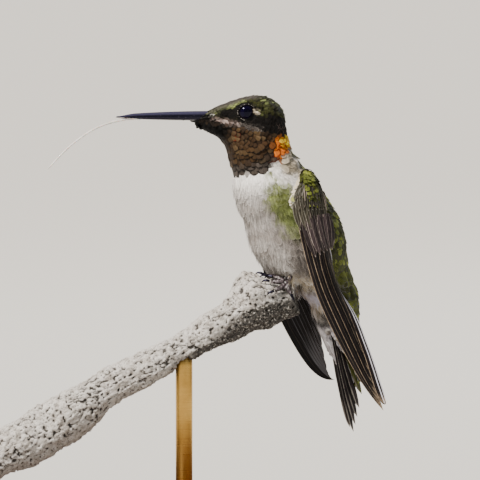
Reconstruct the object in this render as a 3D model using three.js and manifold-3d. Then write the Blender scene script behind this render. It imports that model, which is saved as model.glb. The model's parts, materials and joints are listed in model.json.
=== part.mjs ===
// A male ruby-throated hummingbird, life size, perched on a cut length of branch with its tongue out,
// on a plain display stand. Millimetres, +Z up, origin at the centre of the underside of the stand.
// The bird looks towards -X, and its left side is towards -Y.
import * as THREE from "three";
import { mergeVertices } from "three/addons/utils/BufferGeometryUtils.js";
import Module from "manifold-3d";

const wasm = await Module();
wasm.setup();

// Driving dimensions.
const GAP = 0.3; // clear space between two neighbouring pieces
const BODY_TURN = 26; // degrees that the breast is turned towards -Y
const HEAD_TURN = 18; // the same for the head, which looks a little more along -X
const BODY_ORIGIN = [19.2, 0, 0]; // where the body's own frame stands
const HEAD_AT = [-6.4, 0, 74.8]; // middle of the head in the body's frame
const FLESH_BLEND = 2.2; // how far neighbouring forms of the body melt together

const EYE_RADIUS = 1.5;
const EYE_AT = [-3.5, 3.3, 1.2]; // in the head's frame, mirrored for the other eye

const BILL_ROOT = -9.8; // where the bill starts, inside the feathers of the face
const BILL_LENGTH = 16.4;
const BILL_LEVEL = 0.15; // height of its cutting edge over the middle of the head, at the root
const BILL_RISE = 0.6; // degrees above level
const BILL_HALF_WIDTH = 1.15;
const UPPER_BILL_DEPTH = 1.05;
const LOWER_BILL_DEPTH = 0.55;
const LOWER_BILL_SHORTER = 1.7; // the lower half ends this far behind the upper one
const TONGUE_RADIUS = 0.3;

const WING_LAYER = 0.5; // thickness of one layer of folded feathers
const WING_CLEARANCE = 0.4; // between the wing and the body it lies on
const WING_CAMBER = 1.5; // how far the folded wing bulges outwards
const PRIMARIES = 6; // shorter flight feathers that show over the long ones in each folded wing
const RIGHT_TIP_LIFT = 4.3; // the right wing's tip is carried this much higher

const TAIL_FEATHERS = 5; // on each side
const TAIL_ROOT = [8.4, 37.5]; // x and z of its root, inside the rump
const TAIL_SLOPE = 77; // degrees below level
const TAIL_ROLL = 20; // the tail is rolled about its length by this
const TAIL_LENGTHS = [13.1, 18.9]; // from the root to the tip of the central and of the outer feather
const TAIL_THICK = 0.5;

const TOE_RADIUS = 0.42;
const CLAW_RADIUS = 0.26;
const LEG_RADIUS = 0.45;

const PERCH_Y = -2.5; // the perch lies under the feet, a little nearer than the body's middle
const BASE_LENGTH = 84;
const BASE_DEPTH = 56;
const BASE_HEIGHT = 6;
const BASE_BEVEL = 1.6;
const ROD_RADIUS = 1.5;
const ROD_PLACE = 0.61; // how far along the perch the rod goes in
const ROD_INTO_PERCH = 2.6;
const COLLAR_HEIGHT = 2.4;
const COLLAR_RADIUS = 3.6;

const radians = THREE.MathUtils.degToRad;
const mix = THREE.MathUtils.lerp;
const smoothstep = THREE.MathUtils.smoothstep;
const at = (x, y, z) => new THREE.Vector3(x, y, z);

// Helpers that turn three.js shapes into closed bodies.

// Moves each vertex of a shape and joins the doubled ones, so that the shape is closed.
function reshape(geometry, place) {
  geometry.deleteAttribute("normal");
  geometry.deleteAttribute("uv");
  const joined = mergeVertices(geometry, 1e-4);
  const position = joined.getAttribute("position");
  for (let i = 0; i < position.count; i++) {
    const moved = place(position.getX(i), position.getY(i), position.getZ(i));
    position.setXYZ(i, moved.x, moved.y, moved.z);
  }
  return joined;
}

function toSolid(geometry) {
  return new wasm.Manifold(new wasm.Mesh({
    numProp: 3,
    vertProperties: new Float32Array(geometry.getAttribute("position").array),
    triVerts: new Uint32Array(geometry.index.array),
  }));
}

function toGeometry(solid) {
  const mesh = solid.getMesh();
  const geometry = new THREE.BufferGeometry();
  geometry.setAttribute("position", new THREE.BufferAttribute(new Float32Array(mesh.vertProperties), 3));
  geometry.setIndex(new THREE.BufferAttribute(new Uint32Array(mesh.triVerts), 1));
  return geometry;
}

const join = (solids) => solids.reduce((sum, next) => sum.add(next));

// A half space that starts at a point and lies on the side its normal points to.
function halfSpace(point, normal) {
  const size = 200;
  const box = new THREE.BoxGeometry(size, size, size);
  box.translate(0, 0, size / 2);
  const turn = new THREE.Quaternion().setFromUnitVectors(at(0, 0, 1), normal.clone().normalize());
  return toSolid(reshape(box, (x, y, z) => at(x, y, z).applyQuaternion(turn).add(point)));
}

// A bar of changing radius along a curve; the section is wide along one direction and deep across it.
function bar(curve, { wide, deep = wide, steps = 8, sides = 8, across = at(0, 1, 0) }) {
  const unit = new THREE.CylinderGeometry(1, 1, 1, sides, steps);
  return reshape(unit, (x, y, z) => {
    const t = y + 0.5;
    const tangent = curve.getTangent(t);
    const side = across.clone().addScaledVector(tangent, -across.dot(tangent)).normalize();
    const up = side.clone().cross(tangent);
    return curve.getPoint(t).addScaledVector(side, x * wide(t)).addScaledVector(up, z * deep(t));
  });
}

// The flesh with its plumage: turned ellipsoids that melt together, as a field that is negative inside.

// An ellipsoid with its long half axis tilted in the plane of symmetry, doubled on both sides if y > 0.
function ellipsoid({ x, y = 0, z, long, wide, deep, tilt = 0 }) {
  const cos = Math.cos(radians(tilt));
  const sin = Math.sin(radians(tilt));
  return (point) => {
    const dx = point.x - x;
    const dz = point.z - z;
    const a = (dx * cos + dz * sin) / long;
    const b = (Math.abs(point.y) - y) / wide;
    const c = (dz * cos - dx * sin) / deep;
    const reach = Math.hypot(a, b, c);
    const slope = Math.hypot(a / long, b / wide, c / deep);
    return slope > 0 ? reach * (reach - 1) / slope : -Math.min(long, wide, deep);
  };
}

function melt(fields, radius) {
  return (point) => fields.reduce((nearest, field) => {
    const value = field(point);
    const overlap = Math.max(radius - Math.abs(nearest - value), 0) / radius;
    return Math.min(nearest, value) - overlap * overlap * radius / 4;
  }, 1e3);
}

const bodyToWorld = new THREE.Matrix4().makeRotationZ(radians(BODY_TURN)).setPosition(...BODY_ORIGIN);
const worldToBody = bodyToWorld.clone().invert();
const headToBody = new THREE.Matrix4()
  .makeRotationZ(radians(HEAD_TURN - BODY_TURN))
  .setPosition(...HEAD_AT);
const bodyToHead = headToBody.clone().invert();

const headField = melt([
  ellipsoid({ x: -0.2, z: -0.1, long: 4.8, wide: 5.1, deep: 4.15 }), // cranium
  ellipsoid({ x: -3.2, z: 0.3, long: 4.2, wide: 4.2, deep: 2.9, tilt: 10 }), // sides of the face
  ellipsoid({ x: -5.4, z: 1.2, long: 7.0, wide: 2.7, deep: 1.65, tilt: 13.5 }), // forehead and lores
  ellipsoid({ x: -7.0, z: -1.5, long: 6.0, wide: 2.0, deep: 1.2, tilt: -20 }), // chin
  ellipsoid({ x: -3.0, z: -3.5, long: 5.7, wide: 4.3, deep: 3.3, tilt: -42 }), // throat
  ellipsoid({ x: 0.8, y: 2.2, z: -2.0, long: 3.4, wide: 2.9, deep: 2.8 }), // cheeks
], 1.2);

const trunkForms = [
  ellipsoid({ x: -6.1, z: 68.4, long: 5.9, wide: 5.6, deep: 5.2, tilt: 15 }), // neck and gorget
  ellipsoid({ x: -4.3, z: 61.8, long: 6.6, wide: 6.9, deep: 6.2 }), // breast
  ellipsoid({ x: 0.4, z: 61.6, long: 7.4, wide: 5.6, deep: 4.2, tilt: -60 }), // mantle
  ellipsoid({ x: 1.0, z: 54.0, long: 12.0, wide: 8.4, deep: 8.5, tilt: -58 }), // belly and back
  ellipsoid({ x: 8.0, z: 43.8, long: 7.8, wide: 5.2, deep: 4.6, tilt: -72 }), // rump and vent
  ellipsoid({ x: 9.4, z: 34.9, long: 8.8, wide: 2.9, deep: 2.0, tilt: -61 }), // undertail coverts
  ellipsoid({ x: 11.4, z: 38.6, long: 6.4, wide: 2.8, deep: 1.7, tilt: -78 }), // uppertail coverts
];
const bodyField = melt([(point) => headField(point.clone().applyMatrix4(bodyToHead)), ...trunkForms],
  FLESH_BLEND);

// Distance along a ray at which it leaves the body.
function leave(origin, direction) {
  const step = 0.4;
  let far = step;
  while (bodyField(origin.clone().addScaledVector(direction, far)) < 0) {
    far += step;
  }
  let near = far - step;
  for (let i = 0; i < 14; i++) {
    const middle = (near + far) / 2;
    if (bodyField(origin.clone().addScaledVector(direction, middle)) < 0) {
      near = middle;
    } else {
      far = middle;
    }
  }
  return far;
}

// The surface of the body as seen from one inner point, with the poles of the mesh along an axis.
function fleshFrom(origin, axis, around, along) {
  const turn = new THREE.Quaternion().setFromUnitVectors(at(0, 1, 0), axis.clone().normalize());
  return toSolid(reshape(new THREE.SphereGeometry(1, around, along), (x, y, z) => {
    const direction = at(x, y, z).normalize().applyQuaternion(turn);
    return origin.clone().addScaledVector(direction, leave(origin, direction));
  }));
}

// Thin cuts part the flesh into head, neck, trunk and rump.
const NECK_CUT = { point: at(-7, 0, 71.2), normal: at(-0.1, 0, 1).normalize() };
const GORGET_CUT = { point: at(-5.4, 0, 66.6), normal: at(-0.33, 0, 0.94).normalize() };
const RUMP_CUT = { point: at(7.5, 0, 44.2), normal: at(-0.32, 0, 0.95).normalize() };

function above(cut) {
  return halfSpace(cut.point.clone().addScaledVector(cut.normal, -GAP / 2), cut.normal);
}

function below(cut) {
  return halfSpace(cut.point.clone().addScaledVector(cut.normal, GAP / 2), cut.normal.clone().negate());
}

// Eyes, bill and tongue, in the head's frame.

function eyeball(side, radius) {
  const [x, y, z] = EYE_AT;
  const ball = new THREE.SphereGeometry(1, 12, 9);
  return reshape(ball, (bx, by, bz) => at(x + bx * radius, side * y + by * radius, z + bz * radius));
}

// Size of the bill's section along it, from 1 at the root to a blunt point.
const billTaper = (t) => mix(1, 0.45, t * t) * Math.sqrt(1 - 0.8 * smoothstep(t, 0.8, 1));

function billEdge(along) {
  return BILL_LEVEL + along * Math.tan(radians(BILL_RISE));
}

// One half of the bill: a flat cutting edge with a rounded ridge over or under it.
function billHalf(half, length, depth, grow = 0) {
  const unit = new THREE.CylinderGeometry(1, 1, 1, 10, 6);
  return reshape(unit, (x, y, z) => {
    const along = (y + 0.5) * length;
    const size = billTaper(along / BILL_LENGTH);
    const width = BILL_HALF_WIDTH * size + grow;
    const ridge = depth * size + grow;
    const edge = GAP / 2 - grow;
    const height = edge + (z * half > 0 ? Math.abs(z) : 0) * (ridge - edge);
    return at(BILL_ROOT - along, x * width, billEdge(along) + half * height);
  });
}

const upperBill = (grow) => billHalf(1, BILL_LENGTH, UPPER_BILL_DEPTH, grow);
const lowerBill = (grow) => billHalf(-1, BILL_LENGTH - LOWER_BILL_SHORTER, LOWER_BILL_DEPTH, grow);

// The tongue leaves the tip of the bill and arches down, far beyond it.
function tongue() {
  const start = BILL_LENGTH - LOWER_BILL_SHORTER + GAP;
  const route = new THREE.CatmullRomCurve3([
    at(BILL_ROOT - start, 0, billEdge(start) - GAP / 2 - TONGUE_RADIUS),
    at(-26.6, 0, -0.35),
    at(-28.9, 0, -1.0),
    at(-31.3, 0, -2.1),
    at(-34.7, 0, -4.4),
    at(-37.1, 0, -6.6),
    at(-39.1, 0, -8.7),
  ]);
  const radius = (t) => TONGUE_RADIUS * mix(1, 0.8, t) * Math.sqrt(1 - 0.5 * smoothstep(t, 0.95, 1));
  return bar(route, { wide: radius, steps: 12, sides: 6 });
}

// The folded wings.  Each is a cambered surface between its leading and its trailing edge, from the shoulder
// (0) to the tip (1), pushed clear of the body.  The points are those of the left wing.

const leadingEdge = new THREE.CatmullRomCurve3([
  at(-1.3, -6.2, 65.4),
  at(-3.7, -8.3, 59.6),
  at(-2.1, -9.2, 52.0),
  at(0.2, -9.6, 45.2),
  at(3.0, -9.9, 38.6),
  at(8.0, -9.9, 29.6),
  at(13.7, -9.6, 22.5),
]);
const trailingEdge = new THREE.CatmullRomCurve3([
  at(0.6, -6.0, 65.4),
  at(2.7, -6.3, 59.6),
  at(3.5, -6.8, 52.0),
  at(5.2, -6.2, 45.2),
  at(8.9, -6.0, 38.6),
  at(12.0, -7.6, 29.6),
  at(13.8, -9.3, 22.6),
]);

function pushClear(point, clearance) {
  const nudge = 0.05;
  for (let i = 0; i < 4; i++) {
    const value = bodyField(point);
    if (value >= clearance) {
      break;
    }
    const slope = at(
      bodyField(point.clone().add(at(nudge, 0, 0))) - value,
      bodyField(point.clone().add(at(0, nudge, 0))) - value,
      bodyField(point.clone().add(at(0, 0, nudge))) - value,
    ).normalize();
    point.addScaledVector(slope, clearance - value);
  }
  return point;
}

function wingSkin(across, along) {
  const front = leadingEdge.getPoint(along);
  const back = trailingEdge.getPoint(along);
  const outward = leadingEdge.getTangent(along).cross(back.clone().sub(front)).normalize();
  const camber = WING_CAMBER * 4 * across * (1 - across) * (1 - along ** 3);
  return pushClear(front.lerp(back, across).addScaledVector(outward, camber), WING_CLEARANCE);
}

// A point of the wing of one side (-1 left, 1 right), raised over its inner surface.
function wingPoint(side, across, along, rise) {
  const step = 0.02;
  const here = wingSkin(across, along);
  const alongWing = wingSkin(across, Math.min(along + step, 1)).sub(wingSkin(across, Math.max(along - step, 0)));
  const acrossWing = wingSkin(across + step, along).sub(wingSkin(across - step, along));
  const point = here.addScaledVector(alongWing.cross(acrossWing).normalize(), rise);
  const lift = side > 0 ? RIGHT_TIP_LIFT * along ** 11 : 0;
  return at(point.x, -side * point.y, point.z + lift);
}

// A plate on the wing, from unit box coordinates: 0 to 1 across, through and along it.
function wingPlate(side, acrossSteps, alongSteps, place) {
  const box = new THREE.BoxGeometry(1, 1, 1, acrossSteps, 1, alongSteps);
  const plate = reshape(box, (x, y, z) => {
    const [across, along, rise] = place(x + 0.5, z + 0.5, y + 0.5);
    return wingPoint(side, across, along, rise);
  });
  return side < 0 ? plate : insideOut(plate);
}

// Turns the faces of a mirrored shape outwards again.
function insideOut(geometry) {
  const index = geometry.index;
  for (let i = 0; i < index.count; i += 3) {
    const second = index.getX(i + 1);
    index.setX(i + 1, index.getX(i + 2));
    index.setX(i + 2, second);
  }
  return geometry;
}

// One row of short feathers that ends in rounded tips.
function featherRow(side, { from, to, front, back, base, thick, tips }) {
  return wingPlate(side, tips * 3, 2, (u, w, v) => {
    const across = mix(front, back, u);
    const scallop = Math.abs(Math.sin(Math.PI * tips * u)) ** 0.7;
    const end = to - 0.014 * (1 - scallop);
    const swell = Math.sqrt(mix(0.35, 1, Math.sin(Math.PI * Math.min(1, 0.15 + w))));
    return [across, mix(from, end, w), base + v * thick * swell];
  });
}

// The long outer primaries, which reach the tip, as one plate under the others.
function longPrimaries(side) {
  return wingPlate(side, 3, 10, (u, w, v) => {
    const rounding = Math.sqrt(1 - 0.9 * smoothstep(w, 0.9, 1));
    return [0.5 + (u - 0.5) * rounding, mix(0.165, 1, w), v * WING_LAYER];
  });
}

// The shorter inner primaries lie over them, and end one after the other towards the trailing edge.
function shortPrimaries(side) {
  const steps = PRIMARIES * 2;
  return wingPlate(side, steps, 5, (u, w, v) => {
    const order = Math.min(Math.floor(u * PRIMARIES), PRIMARIES - 1);
    const within = u * PRIMARIES - order;
    const end = 0.9 - 0.05 * order - 0.03 * within ** 3;
    const ridge = 0.18 * (1 - within);
    return [mix(0.14, 0.9, u), mix(0.365, end, w), 0.25 + v * (WING_LAYER + ridge)];
  });
}

const wingParts = {
  primaries: (side) => toSolid(longPrimaries(side)).add(toSolid(shortPrimaries(side))),
  secondaries: (side) => toSolid(featherRow(side, {
    from: 0.25, to: 0.35, front: 0.14, back: 1, base: WING_LAYER + GAP, thick: 0.6, tips: 5,
  })),
  coverts: (side) => toSolid(featherRow(side, {
    from: 0.165, to: 0.24, front: 0.03, back: 1, base: WING_LAYER + GAP, thick: 0.7, tips: 5,
  })),
  shoulder: (side) => toSolid(featherRow(side, {
    from: 0.01, to: 0.155, front: 0, back: 1, base: 0, thick: 1.5, tips: 3,
  })),
};

// The tail: five feathers on each side, in a closed tent that is rolled a little towards the left.

const tailAxis = at(Math.cos(radians(TAIL_SLOPE)), 0, -Math.sin(radians(TAIL_SLOPE)));
const tailUp = at(Math.sin(radians(TAIL_SLOPE)), 0, Math.cos(radians(TAIL_SLOPE)));

// One tail feather; the first is the short central one, the last the long outer one.
function tailFeather(side, order, grow, steps) {
  const rank = order / (TAIL_FEATHERS - 1);
  const length = mix(TAIL_LENGTHS[0], TAIL_LENGTHS[1], rank ** 0.7);
  const tent = radians(30);
  const outward = at(0, side * Math.cos(tent), 0).addScaledVector(tailUp, -Math.sin(tent));
  const normal = at(0, side * Math.sin(tent), 0).addScaledVector(tailUp, Math.cos(tent));
  const box = new THREE.BoxGeometry(1, 1, 1, 1, 1, steps);
  const feather = reshape(box, (u, v, z) => {
    const w = Math.sin((z + 0.5) * Math.PI / 2);
    const rounding = Math.sqrt(1 - 0.92 * smoothstep(w, 0.82, 1));
    const halfWidth = (1.05 - 0.1 * rank) * Math.min(1, 0.4 + 1.2 * w) * rounding;
    const lateral = mix(0.85 + 0.18 * order, 1.55 + 1.1 * rank, w);
    const height = mix(0.6 - 0.3 * order, 2.5 - 3.0 * rank ** 0.8, w);
    const point = at(0, side * lateral, 0)
      .addScaledVector(tailUp, height)
      .addScaledVector(outward, 2 * u * (halfWidth + grow))
      .addScaledVector(normal, v * (TAIL_THICK + 2 * grow))
      .applyAxisAngle(tailAxis, radians(TAIL_ROLL));
    return point.addScaledVector(tailAxis, mix(-grow, length, w)).add(at(TAIL_ROOT[0], 0, TAIL_ROOT[1]));
  });
  return side > 0 ? feather : insideOut(feather);
}

function tailSide(side, grow = 0, steps = 5) {
  const feathers = Array.from({ length: TAIL_FEATHERS }, (_, order) => tailFeather(side, order, grow, steps));
  return join(feathers.map(toSolid));
}

// The perch: a gnarled branch, thick at its cut end on the left and swollen where it broke off on the right.

const perchAxis = new THREE.CatmullRomCurve3([
  at(-35.8, PERCH_Y, 13.1),
  at(-27.5, PERCH_Y, 17.3),
  at(-20.5, PERCH_Y, 21.3),
  at(-13.0, PERCH_Y, 26.9),
  at(-5.5, PERCH_Y, 30.6),
  at(1.0, PERCH_Y, 34.4),
  at(7.4, PERCH_Y, 38.0),
  at(13.4, PERCH_Y, 41.4),
  at(20.2, PERCH_Y, 42.6),
]);
const PERCH_RADII = [4.1, 4.5, 4.4, 3.3, 3.05, 2.85, 3.4, 4.6, 3.0];

// Radius of the branch at a place along it, in the direction of an angle from the top towards the left (-Y).
function perchRadius(t, angle) {
  const place = t * (PERCH_RADII.length - 1);
  const before = Math.min(Math.floor(place), PERCH_RADII.length - 2);
  const plain = mix(PERCH_RADII[before], PERCH_RADII[before + 1], smoothstep(place - before, 0, 1));
  const knob = 2.2 * Math.exp(-(((t - 0.87) / 0.03) ** 2)) * Math.max(0, Math.cos(angle)) ** 2;
  const gnarl = 1 + 0.04 * Math.sin(3 * angle + 40 * t) + 0.03 * Math.sin(2 * angle - 23 * t);
  return plain * gnarl + knob;
}

function perchPoint(t, angle, height) {
  const tangent = perchAxis.getTangent(t);
  const left = at(0, -1, 0);
  const up = left.clone().cross(tangent);
  const outward = left.multiplyScalar(Math.sin(angle)).addScaledVector(up, Math.cos(angle));
  return perchAxis.getPoint(t).addScaledVector(outward, perchRadius(t, angle) + height);
}

function perch(grow = 0) {
  const unit = new THREE.CylinderGeometry(1, 1, 1, 12, 26);
  return reshape(unit, (x, y, z) => {
    const t = y + 0.5;
    const reach = Math.hypot(x, z);
    const rim = perchPoint(t, Math.atan2(x, z), grow);
    const centre = perchAxis.getPoint(t);
    const endwise = perchAxis.getTangent(t).multiplyScalar(grow * Math.sign(y) * (Math.abs(y) > 0.499 ? 1 : 0));
    return centre.lerp(rim, reach).add(endwise);
  });
}

// Legs, feet and claws.  Each foot lies on the perch, three toes forward and one back.

const toes = [
  { name: "inner", reach: -2.3, turn: -24 },
  { name: "middle", reach: -2.9, turn: -2 },
  { name: "outer", reach: -2.4, turn: 22 },
  { name: "hind", reach: 0.6, turn: 30 },
];
const PERCH_SPAN = perchAxis.getLength();
const toeAcross = at(0.3, 0.9, 0.3).normalize();

// A point of a foot, from millimetres along the perch and degrees round it, at a height over the bark.
function footPoint(side, along, turn, height) {
  const [t, angle] = side < 0 ? [0.975, 40] : [0.965, -12];
  return perchPoint(t + along / PERCH_SPAN, radians(angle + turn), height);
}

function toe(side, { reach, turn }, grow, steps, sides) {
  const rest = GAP + TOE_RADIUS;
  const route = new THREE.QuadraticBezierCurve3(
    footPoint(side, 0, 0, rest + 0.1),
    footPoint(side, reach * 0.45, turn * 0.75, rest + 0.35),
    footPoint(side, reach, turn, rest - 0.08),
  );
  const radius = (t) => mix(TOE_RADIUS, TOE_RADIUS * 0.75, t) + grow;
  return bar(route, { wide: radius, steps, sides, across: toeAcross });
}

function foot(side, grow = 0, steps = 3, sides = 5) {
  const heel = footPoint(side, 0, 0, GAP + TOE_RADIUS + 0.12);
  const ball = new THREE.SphereGeometry(TOE_RADIUS * 1.25 + grow, 7, 5);
  const parts = toes.map((each) => toSolid(toe(side, each, grow, steps, sides)));
  return join([toSolid(reshape(ball, (x, y, z) => heel.clone().add(at(x, y, z)))), ...parts]);
}

function claw(side, { reach, turn }) {
  const forward = Math.sign(reach) * (Math.abs(reach) > 1 ? 1 : 0.35);
  const swing = Math.abs(reach) > 1 ? turn * 0.2 : 14;
  const start = GAP + 0.05;
  const place = (step, height) => footPoint(side, reach + forward * step, turn + swing * step, height);
  const route = new THREE.QuadraticBezierCurve3(
    place(start, GAP + TOE_RADIUS + 0.05),
    place(start + 0.8, GAP + TOE_RADIUS + 0.3),
    place(start + 1.3, 0.18),
  );
  return bar(route, { wide: (t) => mix(CLAW_RADIUS, 0.08, t), steps: 3, sides: 5, across: toeAcross });
}

function leg(side, grow = 0) {
  const heel = footPoint(side, 0, 0, GAP + TOE_RADIUS + 0.12);
  const hip = at(0.5, side * 3.0, 50.0).applyMatrix4(bodyToWorld);
  const start = heel.clone().lerp(hip, (TOE_RADIUS * 1.25 + GAP - 2 * grow) / heel.distanceTo(hip));
  const end = hip.addScaledVector(hip.clone().sub(heel).normalize(), grow);
  const route = new THREE.LineCurve3(start, end);
  return bar(route, { wide: () => LEG_RADIUS + grow, steps: 1, sides: 8 });
}

// The stand: an oval wooden foot, a thin rod up into the perch, and a collar where the rod leaves the foot.

function standBase() {
  const radius = BASE_LENGTH / 2;
  const outline = [
    [0, 0],
    [radius - 0.6, 0],
    [radius, 0.6],
    [radius, BASE_HEIGHT - BASE_BEVEL],
    [radius - 0.5 * BASE_BEVEL, BASE_HEIGHT - 0.35 * BASE_BEVEL],
    [radius - BASE_BEVEL, BASE_HEIGHT],
    [0, BASE_HEIGHT],
  ].map(([x, y]) => new THREE.Vector2(x, y));
  const lathe = new THREE.LatheGeometry(outline, 28);
  return reshape(lathe, (x, y, z) => at(x, -z * BASE_DEPTH / BASE_LENGTH, y));
}

function standRod(grow = 0) {
  const top = perchAxis.getPoint(ROD_PLACE).z - perchRadius(ROD_PLACE, Math.PI) + ROD_INTO_PERCH + grow;
  const rod = new THREE.CylinderGeometry(ROD_RADIUS + grow, ROD_RADIUS + grow, top - BASE_HEIGHT, 16);
  const x = perchAxis.getPoint(ROD_PLACE).x;
  const middle = (top + BASE_HEIGHT) / 2;
  return reshape(rod, (rx, ry, rz) => at(x + rx, PERCH_Y - rz, middle + ry));
}

function standCollar() {
  const inner = ROD_RADIUS + GAP;
  const outline = [
    [inner, 0],
    [COLLAR_RADIUS, 0],
    [COLLAR_RADIUS, COLLAR_HEIGHT * 0.5],
    [inner + 0.8, COLLAR_HEIGHT],
    [inner, COLLAR_HEIGHT],
    [inner, 0],
  ].map(([x, y]) => new THREE.Vector2(x, y));
  const x = perchAxis.getPoint(ROD_PLACE).x;
  return reshape(new THREE.LatheGeometry(outline, 16), (rx, ry, rz) => at(x + rx, PERCH_Y - rz, BASE_HEIGHT + ry));
}

// The assembly.

const part = new THREE.Group();
const body = new THREE.Group();
body.position.set(...BODY_ORIGIN);
body.rotation.z = radians(BODY_TURN);
part.add(body);

function add(group, name, geometry, colour, roughness, metalness = 0) {
  const material = new THREE.MeshStandardMaterial({ color: colour, roughness, metalness });
  const mesh = new THREE.Mesh(geometry, material);
  mesh.name = name;
  group.add(mesh);
}

const inBodyFrame = (geometry) => geometry.applyMatrix4(headToBody);

const inWorldCut = (geometry) => toSolid(geometry.applyMatrix4(worldToBody));
const carve = (shape, cuts) => cuts.reduce((left, cut) => left.subtract(cut), shape);

const faceCuts = [
  toSolid(inBodyFrame(eyeball(-1, EYE_RADIUS + GAP))),
  toSolid(inBodyFrame(eyeball(1, EYE_RADIUS + GAP))),
  toSolid(inBodyFrame(upperBill(GAP))),
  toSolid(inBodyFrame(lowerBill(GAP))),
];
const underCuts = [
  inWorldCut(perch(GAP)),
  inWorldCut(toGeometry(foot(-1, GAP, 2, 4))),
  inWorldCut(toGeometry(foot(1, GAP, 2, 4))),
  inWorldCut(leg(-1, GAP)),
  inWorldCut(leg(1, GAP)),
];
const tailCuts = [tailSide(-1, GAP, 2), tailSide(1, GAP, 2), inWorldCut(perch(GAP))];

const flesh = {
  head: carve(fleshFrom(at(...HEAD_AT), at(1, 0, 0), 22, 16), [below(NECK_CUT), ...faceCuts]),
  neck: carve(fleshFrom(at(-6, 0, 68.6), at(0, 0, 1), 24, 12), [above(NECK_CUT), below(GORGET_CUT)]),
  trunk: carve(fleshFrom(at(0.5, 0, 55), at(0.47, 0, -0.88), 22, 17),
    [above(GORGET_CUT), below(RUMP_CUT), ...underCuts]),
  rump: carve(fleshFrom(at(9, 0, 41), at(0.3, 0, -0.95), 20, 16), [above(RUMP_CUT), ...tailCuts]),
};
const fleshColours = { head: "#4d5a2c", neck: "#6b4a2a", trunk: "#d8d4cc", rump: "#7c8a4a" };
for (const [name, shape] of Object.entries(flesh)) {
  add(body, name, toGeometry(shape), fleshColours[name], 0.8);
}

add(body, "bill_upper", inBodyFrame(upperBill(0)), "#1b1a20", 0.4);
add(body, "bill_lower", inBodyFrame(lowerBill(0)), "#1b1a20", 0.4);
add(body, "tongue", inBodyFrame(tongue()), "#c9c6c2", 0.4);

const perchShape = toSolid(perch()).subtract(toSolid(standRod(GAP)));
for (const [side, hand] of [[-1, "left"], [1, "right"]]) {
  add(body, `eye_${hand}`, inBodyFrame(eyeball(side, EYE_RADIUS)), "#0b0b10", 0.1);
  for (const [name, make] of Object.entries(wingParts)) {
    add(body, `wing_${hand}_${name}`, toGeometry(make(side)), "#4b4247", 0.6);
  }
  add(body, `tail_${hand}`, toGeometry(tailSide(side)), "#2b2a33", 0.5);
  add(part, `leg_${hand}`, leg(side), "#3a3432", 0.6);
  add(part, `foot_${hand}`, toGeometry(foot(side)), "#3a3432", 0.6);
  for (const each of toes) {
    add(part, `claw_${hand}_${each.name}`, claw(side, each), "#17151a", 0.35);
  }
}

add(part, "perch", toGeometry(perchShape), "#b9b4a8", 0.95);
add(part, "stand_base", standBase(), "#4a3020", 0.45);
add(part, "stand_rod", standRod(), "#b08d4c", 0.3, 1);
add(part, "stand_collar", standCollar(), "#b08d4c", 0.3, 1);

export default part;
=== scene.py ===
# %% [markdown]
# # A male ruby-throated hummingbird on its perch
# The bird is smaller than a thumb: 3 grams, 8 cm from bill tip to tail tip.  Its solids come from the packed
# model.  This lesson dresses them: one skin, a coat of small feathers that grows out of it, stiff wing and
# tail feathers, a horn bill, wet eyes, scaled toes, and the lichened branch and plain stand that carry it.

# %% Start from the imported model
import bpy
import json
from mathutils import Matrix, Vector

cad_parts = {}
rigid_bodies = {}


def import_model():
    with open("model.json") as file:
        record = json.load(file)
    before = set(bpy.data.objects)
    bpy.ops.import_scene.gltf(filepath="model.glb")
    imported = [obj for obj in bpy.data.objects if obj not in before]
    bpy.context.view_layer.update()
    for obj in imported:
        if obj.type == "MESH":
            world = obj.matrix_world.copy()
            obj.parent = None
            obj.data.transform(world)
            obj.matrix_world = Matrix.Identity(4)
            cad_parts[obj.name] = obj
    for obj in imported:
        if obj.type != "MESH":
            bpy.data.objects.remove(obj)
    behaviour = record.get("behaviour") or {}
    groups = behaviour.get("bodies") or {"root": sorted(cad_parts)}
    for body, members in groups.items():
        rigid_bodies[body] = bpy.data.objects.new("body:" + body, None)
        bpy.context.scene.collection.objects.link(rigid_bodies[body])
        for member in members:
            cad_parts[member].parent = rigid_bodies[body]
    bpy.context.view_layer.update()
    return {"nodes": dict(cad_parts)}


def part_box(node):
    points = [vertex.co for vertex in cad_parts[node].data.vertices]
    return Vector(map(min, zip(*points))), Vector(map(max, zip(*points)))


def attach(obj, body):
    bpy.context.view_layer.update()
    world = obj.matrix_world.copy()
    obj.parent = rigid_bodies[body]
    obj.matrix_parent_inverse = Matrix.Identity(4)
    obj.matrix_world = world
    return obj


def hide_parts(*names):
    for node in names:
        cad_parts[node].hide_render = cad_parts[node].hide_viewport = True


for thing in list(bpy.data.objects):  # what Blender itself puts into a new scene
    bpy.data.objects.remove(thing)
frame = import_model()

import json
import math
import bmesh
import numpy as np
from mathutils import Matrix, Vector, noise
from mathutils.bvhtree import BVHTree

MM = 0.001
SEED = 7
SIDES = ((-1, "left"), (1, "right"))
rng = np.random.default_rng(SEED)

# %% [markdown]
# ## Camera
# A bird this small is seen with a long lens from over a metre away, so there is almost no perspective.

# %% Camera
FRAME_WIDTH = 85.7 * MM  # what the picture takes in at the bird
FRAME_CENTRE = Vector((10.2, 0, 52.86)) * MM
CAMERA_RISE = math.radians(3)
CAMERA_DISTANCE = 1.25
BIRD_MIDDLE = Vector((12, 0, 55)) * MM


def new_object(name, data, material=None):
    made = bpy.data.objects.new(name, data)
    bpy.context.scene.collection.objects.link(made)
    if material:
        data.materials.clear()
        data.materials.append(material)
    return made


def aim(thing, place, target):
    thing.location = place
    thing.rotation_euler = (target - thing.location).to_track_quat("-Z", "Y").to_euler()


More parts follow.
